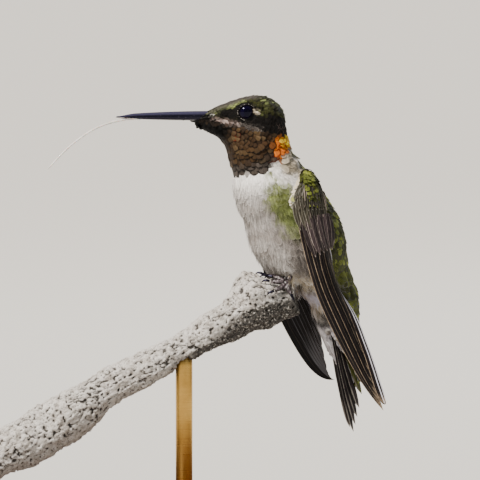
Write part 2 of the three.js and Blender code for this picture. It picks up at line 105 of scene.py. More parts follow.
camera = new_object("camera", bpy.data.cameras.new("camera"))
camera.data.lens = camera.data.sensor_width * CAMERA_DISTANCE / FRAME_WIDTH
camera.data.clip_end = 60
towards_camera = Vector((0, -math.cos(CAMERA_RISE), math.sin(CAMERA_RISE)))
aim(camera, FRAME_CENTRE + CAMERA_DISTANCE * towards_camera, FRAME_CENTRE)
bpy.context.scene.camera = camera
print("lens", round(camera.data.lens), "mm")

# %% [markdown]
# ## Short calls for colours and nodes
# Every finish below is a small web of nodes.  One function adds a node; the others are the few webs that
# come back again and again: a sum, a soft step, clouds, a mixed colour and a relief.


# %% Colours and nodes
def tint(code):
    """An sRGB hex colour as linear red, green, blue."""
    parts = [int(code[i:i + 2], 16) / 255 for i in (1, 3, 5)]
    return tuple(p / 12.92 if p <= 0.04045 else ((p + 0.055) / 1.055) ** 2.4 for p in parts)


def rgba(code):
    return (*tint(code), 1)


def node(tree, kind, settings=None, **links):
    """Adds a node, with its settings and with each input linked to a socket or set to a value."""
    made = tree.nodes.new(kind)
    for key, value in (settings or {}).items():
        setattr(made, key, value)
    for key, value in links.items():
        numbered = key[0] == "i" and key[1:].isdigit()
        socket = made.inputs[int(key[1:])] if numbered else made.inputs[key.replace("_", " ")]
        if isinstance(value, bpy.types.NodeSocket):
            tree.links.new(value, socket)
        else:
            socket.default_value = value
    return made


def new_material(name):
    """An empty material and its node tree."""
    material = bpy.data.materials.new(name)
    material.use_nodes = True
    material.node_tree.nodes.clear()
    return material, material.node_tree


def finish_with(tree, **inputs):
    shader = node(tree, "ShaderNodeBsdfPrincipled", **inputs)
    node(tree, "ShaderNodeOutputMaterial", Surface=shader.outputs[0])


def calc(tree, kind, first, second=0.0, third=0.0):
    return node(tree, "ShaderNodeMath", {"operation": kind}, i0=first, i1=second, i2=third).outputs[0]


def times(tree, first, *others):
    for other in others:
        first = calc(tree, "MULTIPLY", first, other)
    return first


def most(tree, first, second):
    return calc(tree, "MAXIMUM", first, second)


def span(tree, value, low, high, to_low=0.0, to_high=1.0):
    """Maps low..high smoothly to two other values."""
    made = node(tree, "ShaderNodeMapRange", {"interpolation_type": "SMOOTHSTEP"}, Value=value, From_Min=low,
                From_Max=high, To_Min=to_low, To_Max=to_high)
    return made.outputs["Result"]


def ramp(tree, factor, *stops):
    made = node(tree, "ShaderNodeValToRGB", i0=factor)
    elements = made.color_ramp.elements
    while len(elements) < len(stops):
        elements.new(0.5)
    for element, (place, colour) in zip(elements, stops):
        element.position = place
        element.color = rgba(colour)
    return made.outputs["Color"]


def blend(tree, share, first, second, kind="MIX"):
    """The first colour with a share of the second laid over it; a colour is a socket or a hex code."""
    first, second = (rgba(c) if isinstance(c, str) else c for c in (first, second))
    settings = {"data_type": "RGBA", "blend_type": kind}
    return node(tree, "ShaderNodeMix", settings, i0=share, i6=first, i7=second).outputs[2]


def attribute(tree, name, output="Fac"):
    return node(tree, "ShaderNodeAttribute", {"attribute_name": name}).outputs[output]


def over_object(tree, stretch=None, rotation=(0, 0, 0)):
    """Coordinates over the object, in metres, or with a scale of their own along each axis."""
    place = node(tree, "ShaderNodeTexCoord").outputs["Object"]
    if stretch:
        place = node(tree, "ShaderNodeMapping", Vector=place, Rotation=rotation, Scale=stretch).outputs[0]
    return place


def clouds(tree, scale, detail, stretch=None, **more):
    place = over_object(tree, stretch)
    return node(tree, "ShaderNodeTexNoise", Vector=place, Scale=scale, Detail=detail, **more).outputs[0]


def relief(tree, height, strength, depth=0.1 * MM, invert=False):
    return node(tree, "ShaderNodeBump", {"invert": invert}, i0=strength, i1=depth, Height=height).outputs[0]


# %% [markdown]
# ## Floor, light and room
# The light is a broad sun high on the left, with a cool fill from the right, a rim light from behind and a
# pale room to open the shadows.  The floor is a sheet of matt paper.

# %% Floor and light
FLOOR_SIZE = 40


def mesh_from(name, points, faces):
    mesh = bpy.data.meshes.new(name)
    mesh.from_pydata([tuple(p) for p in points], [], [tuple(f) for f in faces])
    mesh.update()
    mesh.shade_smooth()
    return mesh


corners = [(x * FLOOR_SIZE / 2, y * FLOOR_SIZE / 2, 0) for x, y in ((-1, -1), (1, -1), (1, 1), (-1, 1))]
floor_material, tree = new_material("matt_paper_floor")
finish_with(tree, Base_Color=rgba("#d9d8d4"), Roughness=0.9)
new_object("floor", mesh_from("floor", corners, [(0, 1, 2, 3)]), floor_material)


def lamp(name, kind, place, watts, colour, **settings):
    data = bpy.data.lights.new(name, kind)
    data.energy = watts
    data.color = tint(colour)
    for key, value in settings.items():
        setattr(data, key, value)
    made = new_object(name, data)
    made.visible_camera = kind == "SUN"
    aim(made, place, BIRD_MIDDLE)


lamp("window", "SUN", (-0.5, -0.55, 0.95), 7.5, "#fff6ea", angle=math.radians(14))
lamp("fill", "AREA", (0.7, -0.8, 0.3), 0.45, "#e9f0ff", shape="DISK", size=0.8)
lamp("rim", "AREA", (0.45, 0.6, 0.65), 2.6, "#ffffff", shape="DISK", size=0.4)
world = bpy.data.worlds.new("room")
world.use_nodes = True
background = world.node_tree.nodes["Background"].inputs
background["Color"].default_value = rgba("#dfe3e8")
background["Strength"].default_value = 0.26
bpy.context.scene.world = world
print("floor", FLOOR_SIZE, "m across, three lamps and a pale room")

# %% [markdown]
# ## The bird's own frame
# Every marking of a bird sits at the same place on its body, whichever way it turns.  So places on the bird
# are worked out in two frames of its own, in millimetres: one of the trunk and one of the head.

# %% Frames of the trunk and the head
BODY_TURN = math.radians(26)  # the breast is turned this much towards the camera
BODY_ORIGIN = Vector((19.2, 0, 0))
EYE_BACK = -3.5  # the eyes lie this far in front of the middle of the head
EYE_OVER = 1.2


def box_mm(name):
    return [np.array(corner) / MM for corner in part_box(name)]


body_to_world = Matrix.Translation(BODY_ORIGIN) @ Matrix.Rotation(BODY_TURN, 4, "Z")
world_to_body = body_to_world.inverted()
eye_at = {label: Vector(sum(box_mm("eye_" + label)) / 2) for _, label in SIDES}
eye_low, eye_high = box_mm("eye_right")
EYE_RADIUS = (eye_high[2] - eye_low[2]) / 2
across_head = (eye_at["right"] - eye_at["left"]).normalized()
head_turn = Matrix.Rotation(math.atan2(-across_head.x, across_head.y), 4, "Z")
head_at = (eye_at["left"] + eye_at["right"]) / 2 - head_turn @ Vector((EYE_BACK, 0, EYE_OVER))
head_to_world = Matrix.Translation(head_at) @ head_turn
world_to_head = head_to_world.inverted()
print("head at", [round(v, 2) for v in head_at], "turned", round(math.degrees(head_turn.to_euler().z), 1))


# %% Small functions on rows of points
def moved(matrix, points):
    """Points in another frame, as an array of rows."""
    matrix = np.array(matrix)
    return np.asarray(points) @ matrix[:3, :3].T + matrix[:3, 3]


def unit(rows):
    return rows / np.maximum(np.linalg.norm(rows, axis=1), 1e-12)[:, None]


def smooth(value, low, high):
    """Nothing below low, one above high, and a soft step between."""
    part = np.clip((value - low) / (high - low), 0, 1)
    return part * part * (3 - 2 * part)


def bump(value, centre, reach):
    """One at the centre, falling smoothly to nothing at about twice the reach."""
    return np.exp(-((value - centre) / reach) ** 2)


def curve_through(points):
    """A smooth curve through points, evaluated at a place from 0 to 1."""
    points = np.array(points, float)
    last = len(points) - 1
    padded = np.vstack([2 * points[0] - points[1], points, 2 * points[-1] - points[-2]])

    def at(place):
        place = np.clip(np.atleast_1d(np.asarray(place, float)), 0, 1) * last
        i = np.minimum(place.astype(int), last - 1)
        w = (place - i)[:, None]
        p0, p1, p2, p3 = (padded[i + k] for k in range(4))
        d0, d1, d2 = (np.maximum(np.linalg.norm(b - a, axis=1), 1e-6)[:, None] ** 0.5
                      for a, b in ((p0, p1), (p1, p2), (p2, p3)))
        m1 = ((p1 - p0) / d0 - (p2 - p0) / (d0 + d1) + (p2 - p1) / d1) * d1
        m2 = ((p2 - p1) / d1 - (p3 - p1) / (d1 + d2) + (p3 - p2) / d2) * d1
        return p1 + m1 * w + (3 * (p2 - p1) - 2 * m1 - m2) * w ** 2 + (2 * (p1 - p2) + m1 + m2) * w ** 3
    return at


def mottle(points, scale, seed):
    """A value from about -1 to 1 that wanders over the given distance in millimetres."""
    shift = 31.7 * seed
    return np.array([noise.noise(Vector(p) / scale + Vector((shift, -shift, shift))) for p in points]) * 1.6


def edited(mesh, change):
    """Hands a mesh to a function that changes it as a bmesh, and writes it back."""
    shape = bmesh.new()
    shape.from_mesh(mesh)
    change(shape)
    shape.to_mesh(mesh)
    shape.free()
    return mesh


def evaluated(thing, name):
    """The mesh that an object has after its modifiers; the object itself is removed."""
    mesh = bpy.data.meshes.new_from_object(thing.evaluated_get(bpy.context.evaluated_depsgraph_get()))
    mesh.name = name
    bpy.data.objects.remove(thing)
    mesh.shade_smooth()
    return mesh


def arrays(mesh):
    """The points and the normals of a mesh as rows."""
    rows = np.empty((2, len(mesh.vertices) * 3))
    mesh.vertices.foreach_get("co", rows[0])
    mesh.vertices.foreach_get("normal", rows[1])
    return rows.reshape(2, -1, 3)


def write_points(mesh, points):
    mesh.vertices.foreach_set("co", points.ravel())
    mesh.update()


def read_corners(mesh):
    corners = np.empty(len(mesh.loops), dtype=np.int32)
    mesh.loops.foreach_get("vertex_index", corners)
    return corners


ATTRIBUTE_KEY = {"FLOAT": "value", "FLOAT_VECTOR": "vector", "FLOAT_COLOR": "color"}


def set_floats(mesh, name, values, kind="FLOAT"):
    layer = mesh.attributes.new(name, kind, "POINT")
    layer.data.foreach_set(ATTRIBUTE_KEY[kind], np.ascontiguousarray(values, dtype=np.float32).ravel())


def get_floats(mesh, name, width=1):
    layer = mesh.attributes[name]
    values = np.empty(len(mesh.vertices) * width, dtype=np.float32)
    layer.data.foreach_get(ATTRIBUTE_KEY[layer.data_type], values)
    return values.reshape(-1, width) if width > 1 else values


def set_bake_map(mesh, places):
    """The OFBake map, from a place for each vertex."""
    layer = mesh.uv_layers.new(name="OFBake")
    layer.data.foreach_set("uv", np.ascontiguousarray(places[read_corners(mesh)], dtype=np.float32).ravel())


# %% [markdown]
# ## One skin under the feathers
# The solids part the bird into head, neck, trunk and rump with thin cuts.  In life one skin runs through.
# A voxel remesh melts them into one shell and smoothing takes away their facets.  The bill is melted in too,
# because feathers run out over its root; past them it is cut off again.

# %% Melt the flesh into one shell
FLESH = ["head", "neck", "trunk", "rump", "eye_left", "eye_right", "leg_left", "leg_right", "bill_upper",
         "bill_lower"]
BRIDGE = 0.2 * MM  # grows each solid enough to close the cuts between them
FEATHERS_END = -14.4  # along the head's own frame, out on the bill


def softened(name, solids, voxel, rounds, grow=0.0):
    """One smooth mesh round some solids, which are first grown by a length in metres."""
    def join(shape):
        for solid in solids:
            shape.from_mesh(frame["nodes"][solid].data)
        bmesh.ops.remove_doubles(shape, verts=shape.verts, dist=1e-6)
        shape.normal_update()
        for vertex in shape.verts:
            vertex.co += vertex.normal * grow
    rough = new_object(name + "_rough", edited(bpy.data.meshes.new(name), join))
    remesh = rough.modifiers.new("melt", "REMESH")
    remesh.mode = "VOXEL"
    remesh.voxel_size = voxel * MM
    rough.modifiers.new("soften", "SMOOTH").iterations = rounds
    return evaluated(rough, name)


def cut_off(shape):
    """Cuts away the bill past the last feathers and closes the hole."""
    spot = head_to_world @ Vector((FEATHERS_END, 0, 0)) * MM
    everything = shape.verts[:] + shape.edges[:] + shape.faces[:]
    cut = bmesh.ops.bisect_plane(shape, geom=everything, plane_co=spot, clear_outer=True,
                                 plane_no=head_turn.to_3x3() @ Vector((-1, 0, 0)))
    bmesh.ops.holes_fill(shape, edges=[e for e in cut["geom_cut"] if isinstance(e, bmesh.types.BMEdge)])
    bmesh.ops.triangulate(shape, faces=[f for f in shape.faces if len(f.verts) > 4])


def keep_largest(shape):
    """Keeps only the largest connected shell."""
    left = set(shape.verts)
    shells = []
    while left:
        shell = [left.pop()]
        for vertex in shell:  # the list grows while it is walked
            for edge in vertex.link_edges:
                other = edge.other_vert(vertex)
                if other in left:
                    left.discard(other)
                    shell.append(other)
        shells.append(shell)
    shells.sort(key=len)
    bmesh.ops.delete(shape, geom=[vertex for shell in shells[:-1] for vertex in shell], context="VERTS")


skin_mesh = edited(edited(softened("skin", FLESH, 0.3, 10, BRIDGE), cut_off), keep_largest)
skin_mesh.shade_smooth()
outer, normals = arrays(skin_mesh)
outer -= normals * BRIDGE
print("shell of", len(outer), "vertices, between", *np.round([outer.min(0) / MM, outer.max(0) / MM], 1))

# %% [markdown]
# ## Where everything is on the bird
# The markings, the size of the feathers and the way they lie all follow the body, so they are worked out for
# each point of the skin from its place in the bird's own frames: how far it is round the body from the
# breast (an azimuth) and how high up it is.


# %% Places on the skin
def along_line(x, z, start, end):
    """How far points are along a line, from 0 to 1, and how far from it."""
    dx, dz = end[0] - start[0], end[1] - start[1]
    share = np.clip(((x - start[0]) * dx + (z - start[1]) * dz) / (dx * dx + dz * dz), 0, 1)
    return share, np.hypot(x - start[0] - share * dx, z - start[1] - share * dz)


def places(world_mm):
    """All the coordinates that the markings use, for points in millimetres."""
    body = moved(world_to_body, world_mm)
    head = moved(world_to_head, world_mm)
    side = np.abs(body[:, 1])
    spine_x = np.interp(body[:, 2], [30, 35, 40, 46, 54, 61.8, 68], [12, 10.5, 9.5, 6, 1, -3, -6])
    neck_round = np.degrees(np.arctan2(side, -6.1 - body[:, 0]))
    # The throat ends higher towards the back.
    rising = 0.75 * smooth(neck_round, 68, 96) + 0.75 * smooth(neck_round, 104, 124)
    throat_line = np.interp(head[:, 0], [-11.5, -4.9, -0.75, 3.6, 8], [-0.5, -1.5, -2.6, -3.1, -3.3])
    return {"body": body, "head": head, "height": body[:, 2], "neck_round": neck_round,
            "round": np.degrees(np.arctan2(side, spine_x - body[:, 0])),
            "over_neck": -0.1 * (body[:, 0] + 7) + (body[:, 2] - 71.2),
            "over_breast": -0.33 * (body[:, 0] + 5.4) + 0.94 * (body[:, 2] - 66.6) - rising,
            "under_throat_line": throat_line - head[:, 2]}


def lie(place, normals_world):
    """The direction in which feathers lie: away from the bill on the head, and towards the tail below."""
    from_bill = place["head"] - np.array([-9.6, 0, 0.2])
    from_bill[:, 2] -= 1.5 + 3.5 * smooth(place["head"][:, 0], -2, 6)
    from_bill = unit(from_bill) @ np.array(head_to_world.to_3x3()).T
    z = place["height"]
    run = np.stack([np.interp(z, [34, 44, 54, 64], [0.25, 0.4, 0.5, 0.3]), 0 * z, -np.ones(len(z))], 1)
    run[:, 0] += 0.45 * smooth(place["round"], 50, 95) * smooth(-place["round"], -140, -100)
    to_tail = unit(run) @ np.array(body_to_world.to_3x3()).T
    on_head = smooth(place["over_neck"], -2.5, 1.5)[:, None]
    return along_surface(from_bill * on_head + to_tail * (1 - on_head), normals_world)


def along_surface(field, normals_world):
    """Directions laid down into a surface."""
    return unit(field - normals_world * np.sum(field * normals_world, axis=1)[:, None])


# The loose skin of the throat hangs a little fuller than the solids, from the chin down to the neck.
x, y, z = moved(world_to_head, outer / MM).T
fuller = np.interp(x, [-14.4, -13.6, -12.4, -11, -9.4, -8, -7.1, -6],
                   [0, 0.12, 0.22, 0.38, 0.62, 0.58, 0.3, 0])
fuller *= smooth(-z - np.interp(x, [-13, -11], [-0.1, 0.2]), 0, 0.8) * smooth(-np.abs(y), -3.6, -1.6)
fuller *= smooth(z, -9.5, -7.5)
fuller -= 0.25 * smooth(-x, 13.3, 14.1)  # and ends inside the horn of the bill
outer += normals * (fuller * MM)[:, None]
write_points(skin_mesh, outer)
normals = arrays(skin_mesh)[1]
here = places(outer / MM)
print("azimuths run to", round(float(here["round"].max())), "degrees")

# %% [markdown]
# ## The markings
# The palette is that of an adult male: a throat of scale feathers that are almost black until light strikes
# them, then ruby, orange and gold; a white breast; dusky flanks glossed with green; a bronze-green back.
# One function gives the colour of the middle of a feather and of its rim at any place, and both the skin
# and the coat that covers it use it, so no bare patch shows through between feathers.

# %% Palette
INK = "#080707"
DUSKY = "#1c1714"
UMBER = "#33251a"
BRONZE = "#48341f"
TAN = "#614f36"
OLIVE = "#363819"
MOSS = "#6c7530"
LIME = "#a4ad48"
FERN = "#67743a"
LICHEN = "#93a05f"
RUBY = "#b5360f"
FLAME = "#d67218"
GOLD = "#d8bb24"
SNOW = "#f8f6f4"
LILAC = "#e0dff0"
PEARL = "#c9c5c2"
SMOKE = "#8d8681"
SLATE = "#55504d"
ROSE = "#c7aea6"
CREAM = "#d8c9ae"
BUFF = "#9c9076"


class Paint:
    """The colours of the middle (vane) and the rim of feathers, and their gloss, at many points."""

    def __init__(self, count):
        self.vane, self.rim = np.zeros((2, count, 3))
        self.gloss = np.zeros(count)

    def dab(self, mask, vane=None, rim=None, gloss=None, dull=0.0):
        """Lays a colour, or a colour and its share, over what a mask from 0 to 1 covers."""
        for layer, given in ((self.vane, vane), (self.rim, rim)):
            if given:
                colour, share = given if isinstance(given, tuple) else (given, 1.0)
                layer += (np.array(tint(colour)) - layer) * np.clip(share * mask, 0, 1)[:, None]
        if gloss is not None:
            self.gloss += (gloss - self.gloss) * mask
        self.gloss *= 1 - dull * mask


# %% Markings of the head
def mark_head(place, paint):
    x, y, z = place["head"].T
    side = np.abs(y)
    on_head = smooth(place["over_neck"], -1.4, 0.4)
    sparkle = mottle(place["head"], 0.9, 8)
    glints = mottle(place["head"], 0.55, 18)

    def stripe(start, end, outer_reach, inner_reach, side_from=-2, side_to=-1):
        """A soft stripe along a line, seen from the side."""
        far = along_line(x, z, start, end)[1]
        return on_head * smooth(-far, -outer_reach, -inner_reach) * smooth(side, side_from, side_to)

    def blot(centre_x, centre_z, reach_x, reach_z, outer_reach, inner_reach, side_from, side_to):
        """A soft oval, seen from the side."""
        far = np.hypot((x - centre_x) / reach_x, (z - centre_z) / reach_z)
        return on_head * smooth(-far, -outer_reach, -inner_reach) * smooth(side, side_from, side_to)

    # Dusky with green glints, a green brow, and a grey top of the crown that is a painted highlight where
    # light falls.
    paint.dab(on_head, DUSKY, INK, gloss=0.5)
    paint.dab(on_head * smooth(z, -0.4, 0.6), OLIVE)
    paint.dab(on_head * smooth(sparkle, -0.1, 0.5), (DUSKY, 0.75))
    glints = on_head * smooth(glints, 0.45, 0.85)
    paint.dab(glints * smooth(x, -2.5, 0.5) * smooth(z, -0.5, 0.8), (LICHEN, 0.65))
    inner = np.interp(x, [-11, -6], [0.2, 0.8])
    paint.dab(stripe((-11, 1.0), (-3.6, 3.4), 0.95, 0.35, inner, 2 * inner), LICHEN, DUSKY)
    # Painted highlight: the top of the crown is laid in a lighter grey, as if lit from above.
    top = on_head * smooth(-side, -2.5, -1.5) * smooth(-x, -1, 2) * smooth(z, 0.6, 1.2)
    paint.dab(top, (SLATE, 0.85), (SMOKE, 0.35))
    # Black lores and cheek, the cheek with a little rose at its end, and a black ring round the eye.
    cheek = blot(0.9, -1.2, 3.9, 2.1, 1.15, 0.85, 1.5, 2.5)
    paint.dab(blot(-6.3, 1.05, 2.0, 1.0, 1.25, 0.8, 0.7, 1.4), INK, DUSKY, dull=0.8)
    paint.dab(cheek, INK, DUSKY, dull=0.8)
    paint.dab(cheek * bump(x, 2.4, 1.0) * bump(z, -1.5, 0.7), rim=(ROSE, 0.2))
    paint.dab(blot(-3.5, 1.2, 1, 1, 2.1, 1.6, 2, 2.6), INK, SLATE)
    # A broken pale stripe of painted glint runs from the gape under the eye, and fades behind it.
    # Painted highlight: light caught on the edges of the black feathers under the eye.
    broken = smooth(sparkle, -0.5, 0.15) * (0.35 + 0.65 * smooth(x, -9.4, -8.2))
    paint.dab(stripe((-9.9, 0.3), (-4.9, -1.0), 0.42, 0.15, 0.5, 1.0) * broken, (ROSE, 0.9), (SNOW, 0.7),
              dull=0.8)
    paint.dab(stripe((-4.9, -1.1), (-1.6, -1.9), 0.6, 0.25, 1.5, 2.5), (SLATE, 0.7), (SMOKE, 0.8))
    # A cream wedge behind the eye, the pale edge of the gape, and the black corner under it.
    widening = 0.1 * along_line(x, z, (-2.45, 2.2), (-1.7, 1.1))[0]
    wedge = stripe((-2.45, 2.2), (-1.7, 1.1), 0.27 + widening, 0.08 + widening, 1.8, 2.4)
    paint.dab(wedge * smooth(mottle(place["head"], 0.3, 4), -0.8, -0.3), CREAM, (SNOW, 0.7), dull=1.0)
    paint.dab(stripe((-10.9, 0.45), (-9.2, 0.8), 0.19, 0.06), SNOW, PEARL)
    gape = smooth(-x, 9.2, 9.9) * smooth(z, -0.5, -0.3) * smooth(-z, -1.1, -0.85)
    paint.dab(on_head * gape, INK, INK, gloss=0.6)


# %% Markings of the throat
def mark_throat(place, world_mm, paint):
    height = place["height"]
    around = place["neck_round"]
    throat = smooth(place["under_throat_line"], -0.25, 0.2) * smooth(place["over_breast"], -0.35, 0.05)
    throat = throat * smooth(-around, -136, -126)
    wander = mottle(world_mm, 1.6, 3)
    speck = mottle(world_mm, 0.7, 9)
    paint.dab(throat, UMBER, INK)
    paint.dab(throat * (0.35 + 0.5 * smooth(wander + 0.5 * speck, -0.6, 0.6)), BRONZE)
    paint.dab(throat * smooth(speck, 0.15, 0.6), (TAN, 0.8))
    paint.dab(throat * smooth(-place["head"][:, 0], 5.2, 7.6), INK, INK)  # the chin
    paint.dab(throat * smooth(-place["over_breast"], -2.4, -1.3), (SLATE, 0.75), (DUSKY, 0.8))
    # A painted flash of iridescence where light strikes the gorget at its rear corner, with small painted
    # glints nearby.
    painted_flash = bump(around, 111, 22) * bump(height, 69.8, 2.3)
    for colour, glow in ((FLAME, painted_flash),
                         (RUBY, 0.6 * painted_flash * smooth(mottle(world_mm, 0.8, 7), 0.1, 0.45)),
                         (GOLD, 1.4 * bump(around, 126, 15) * bump(height, 71.2, 1.7)),
                         (FLAME, bump(around, 134, 10) * bump(height, 69.0, 0.7)),
                         (BRONZE, 0.55 * bump(around, 86, 11) * bump(height, 68.0, 0.9)),
                         (TAN, 0.6 * bump(around, 22, 12) * bump(height, 71.6, 0.8)),
                         (FLAME, 0.5 * bump(around, 76, 6) * bump(height, 71.0, 0.6))):
        paint.dab(throat * smooth(glow, 0.25, 0.6), colour)
        paint.dab(throat * smooth(glow, 0.3, 0.6), rim=(RUBY, 0.5))
    paint.gloss = np.where(throat > 0.5, 0.5 * throat, paint.gloss)


# %% Markings of the body
def mark_body(place, world_mm, paint):
    height = place["height"]
    around = place["round"]
    everywhere = np.ones(len(height))
    wander = mottle(world_mm, 2.6, 1)
    sparkle = mottle(world_mm, 0.8, 6)
    collar_reach = 46 * bump(height, 67, 2.3)  # the white of the throat runs round the neck as a half collar
    border = np.interp(height, [36, 44, 50, 60], [60, 66, 80, 96])
    front = 1 - smooth(around + 6 * wander - collar_reach, border, border + 15)
    # A white breast over a grey, mottled belly.
    breast = smooth(height, 58.5, 63.5)
    paint.dab(everywhere, SLATE, PEARL)
    paint.dab(breast, SNOW, SNOW)
    paint.dab(1 - breast, (PEARL, 0.75))
    paint.dab((1 - breast) * (0.35 + 0.55 * smooth(wander, -0.4, 0.5)), SMOKE)
    paint.dab((1 - breast) * smooth(-wander, -0.1, 0.6), rim=(SNOW, 0.45))
    # Towards the sides the breast turns dusky: the flanks' own grey, deepened by painted shade where the body
    # turns from the light.
    dusky_flank_and_shade = smooth(around, 26, 60) * smooth(-height, -63, -58.5) * smooth(height, 45, 48)
    clouded = mottle(world_mm, 1.5, 14)
    paint.dab(dusky_flank_and_shade, (SMOKE, 0.9), (SMOKE, 0.85))
    paint.dab(dusky_flank_and_shade * smooth(clouded, -0.4, 0.4), (SLATE, 0.85))
    paint.dab(dusky_flank_and_shade * smooth(clouded, -0.3, 0.5), rim=(SLATE, 0.75))
    # The green flank patch, with painted shade under it and on the lower belly, and an olive fleck below it.
    flank = np.hypot((around - 72) / 25, (height - 58.6) / 6.2)
    flank = smooth(1.2 - flank + 0.18 * wander + 0.4 * mottle(world_mm, 0.55, 2), 0.1, 0.55)
    paint.dab(flank, (FERN, 0.95))
    paint.dab(flank * smooth(height, 57, 61), (MOSS, 0.6))
    paint.dab(flank * smooth(sparkle, 0.0, 0.6), (LICHEN, 0.85))
    paint.dab(flank * smooth(-sparkle, 0.1, 0.7), (OLIVE, 0.7))
    paint.dab(flank, rim=(LICHEN, 0.8))
    # Painted shade on the lower belly, broken by the mottle.
    low_shade = smooth(-height, -51.5, -48) * smooth(wander, -0.7, 0.3)
    paint.dab(bump(around, 62, 16) * bump(height, 53.2, 1.5) + low_shade, (SLATE, 0.7), (SMOKE, 0.75))
    paint.dab(bump(around, 88, 10) * bump(height, 49.7, 1.3), (OLIVE, 0.8), (MOSS, 0.6))
    # A cream vent, then a lilac tuft between two bands of painted shadow, ragged towards the belly's middle.
    vent = smooth(-height, -47.5, -45.5)
    paint.dab(vent, (CREAM, 0.9), (SNOW, 0.95))
    paint.dab(vent * smooth(mottle(world_mm, 0.9, 12), 0.05, 0.5), (SLATE, 0.8))
    paint.dab(smooth(-height, -40, -38), PEARL, PEARL)
    ragged = smooth(-around, -26, -8)
    level = height + 2.4 * ragged * mottle(world_mm, 0.3, 21)
    # Painted shadow in the two hollows above and below the tuft.
    painted_hollow_shade = smooth(-level, -40.3, -39.5) * smooth(level, 36.9, 37.4) + bump(level, 43.2, 0.5)
    tuft = smooth(level, 40.0, 40.6) * smooth(-level, -43.2, -42.4)
    paint.dab(painted_hollow_shade * (1 - 0.6 * ragged), (DUSKY, 0.9), (DUSKY, 0.75))
    paint.dab(tuft * (1 - 0.3 * ragged), LILAC, LILAC)
    # The green back, with lime flecks that are painted glints of light, and the buff hind neck beside it.
    back = 1 - front
    paint.dab(back, OLIVE)
    paint.dab(back * smooth(sparkle, -0.2, 0.5), MOSS)
    # Painted glints: lime flecks where light catches the green feathers.
    paint.dab(back * smooth(sparkle, 0.35, 0.9), (LIME, 0.45))
    paint.dab(back * (1 - 0.7 * bump(height, 68, 3)), rim=(INK, 0.85))
    paint.dab(back * bump(height, 68, 2.2) * smooth(-around, -165, -145), (BUFF, 0.5))
    neck = smooth(height, 64.0, 65.6) * smooth(-height, -70.6, -69.0)
    paint.dab(neck * smooth(around, 84, 100) * smooth(-around, -150, -128), (BUFF, 0.85), (CREAM, 0.85))
    paint.gloss = np.maximum(np.maximum(paint.gloss, 0.5 * flank) * front, 0.55 * back)


def markings(world_mm):
    """The paint at points in millimetres."""
    place = places(world_mm)
    paint = Paint(len(world_mm))
    mark_body(place, world_mm, paint)
    mark_head(place, paint)
    mark_throat(place, world_mm, paint)
    return paint


# %% [markdown]
# ## How long the feathers are
# The feathers are shortest round the bill and the eye and longest at the vent and the rump.  The skin is
# drawn inwards by the depth of the coat that will cover it.


# %% Size of the feathers, and the skin drawn in under them
def region_masks(place):
    """Which coat covers each point."""
    height = place["height"]
    throat = (place["under_throat_line"] > 0) & (place["over_breast"] > -0.3) & (place["neck_round"] < 131)
    head = (place["over_neck"] > -0.7) & ~throat
    face = head & (place["head"][:, 0] < -1.2)
    back = ~head & ~throat & (place["round"] > 104) & ((height < 63.5) | (place["round"] > 146))
    front = ~head & ~throat & ~back
    vent = front & (height < 46.5)
    breast = front & (height >= 56.5)
    return {"face": face, "crown": head & ~face, "throat": throat, "breast": breast,
            "belly": front & ~vent & ~breast, "back": back, "vent": vent}


def feather_length(place):
    """Length of a feather in millimetres, shortest on the face."""
    on_head = smooth(place["over_neck"], -2.0, 0.5)
    head_length = np.interp(place["head"][:, 0], [-14, -11, -8, -4, 0, 5], [0.4, 0.55, 0.8, 1.0, 1.35, 1.7])
    body_length = np.interp(place["height"], [32, 38, 44, 47, 54, 61, 66],
                            [2.6, 2.2, 2.3, 2.4, 2.2, 1.9, 1.6])
    body_length = body_length * (1 - 0.25 * smooth(place["round"], 95, 120))
    throat_length = np.interp(place["over_breast"], [0, 1.5, 5, 9], [2.3, 1.95, 1.5, 1.0])
    throat = smooth(place["under_throat_line"], -0.3, 0.3) * smooth(place["over_breast"], -0.6, 0)
    throat = throat * smooth(-place["round"], -140, -125)
    return (on_head * head_length + (1 - on_head) * body_length) * (1 - throat) + throat_length * throat


def from_eyes(points_mm):
    """How far points are from the middle of the nearer eye."""
    return np.min([np.linalg.norm(points_mm - np.array(eye), axis=1) for eye in eye_at.values()], axis=0)


lies = lie(here, normals)
near_eye = from_eyes(outer / MM)
lengths = feather_length(here) * (0.42 + 0.58 * smooth(near_eye, 1.9, 3.3))
depth = 0.2 * lengths * smooth(near_eye, 1.9, 3.2) + 0.12
write_points(skin_mesh, outer - normals * (depth * MM)[:, None])
skin = new_object("skin", skin_mesh)
outer_tree = BVHTree.FromPolygons([Vector(p) for p in outer], [list(f.vertices) for f in skin_mesh.polygons])
print("coat depth from", round(float(depth.min()), 2), "to", round(float(depth.max()), 2), "mm")

# %% [markdown]
# ## Two kinds of small feather
# A throat or back feather is a firm scale with a rounded end.  A belly feather is loose: its barbs part
# and it looks like a fan of soft strands.  Each kind is modelled once, one unit long and one unit wide,
# and laid thousands of times.  It rises a little from its root and bends back, so that it hugs the body.


# %% Model the two feathers
def grid_faces(rows, columns, start=0):
    """Quads of a grid of points that has rows + 1 by columns + 1 points."""
    first = [start + j * (columns + 1) + i for j in range(rows) for i in range(columns)]
    return [(a, a + 1, a + columns + 2, a + columns + 1) for a in first]


def feather_object(name, points, faces, across, along):
    mesh = mesh_from(name, points, faces)
    set_floats(mesh, "across", across)
    set_floats(mesh, "along", along)
    print(name, "has", 2 * len(faces), "triangles")
    return new_object(name, mesh)


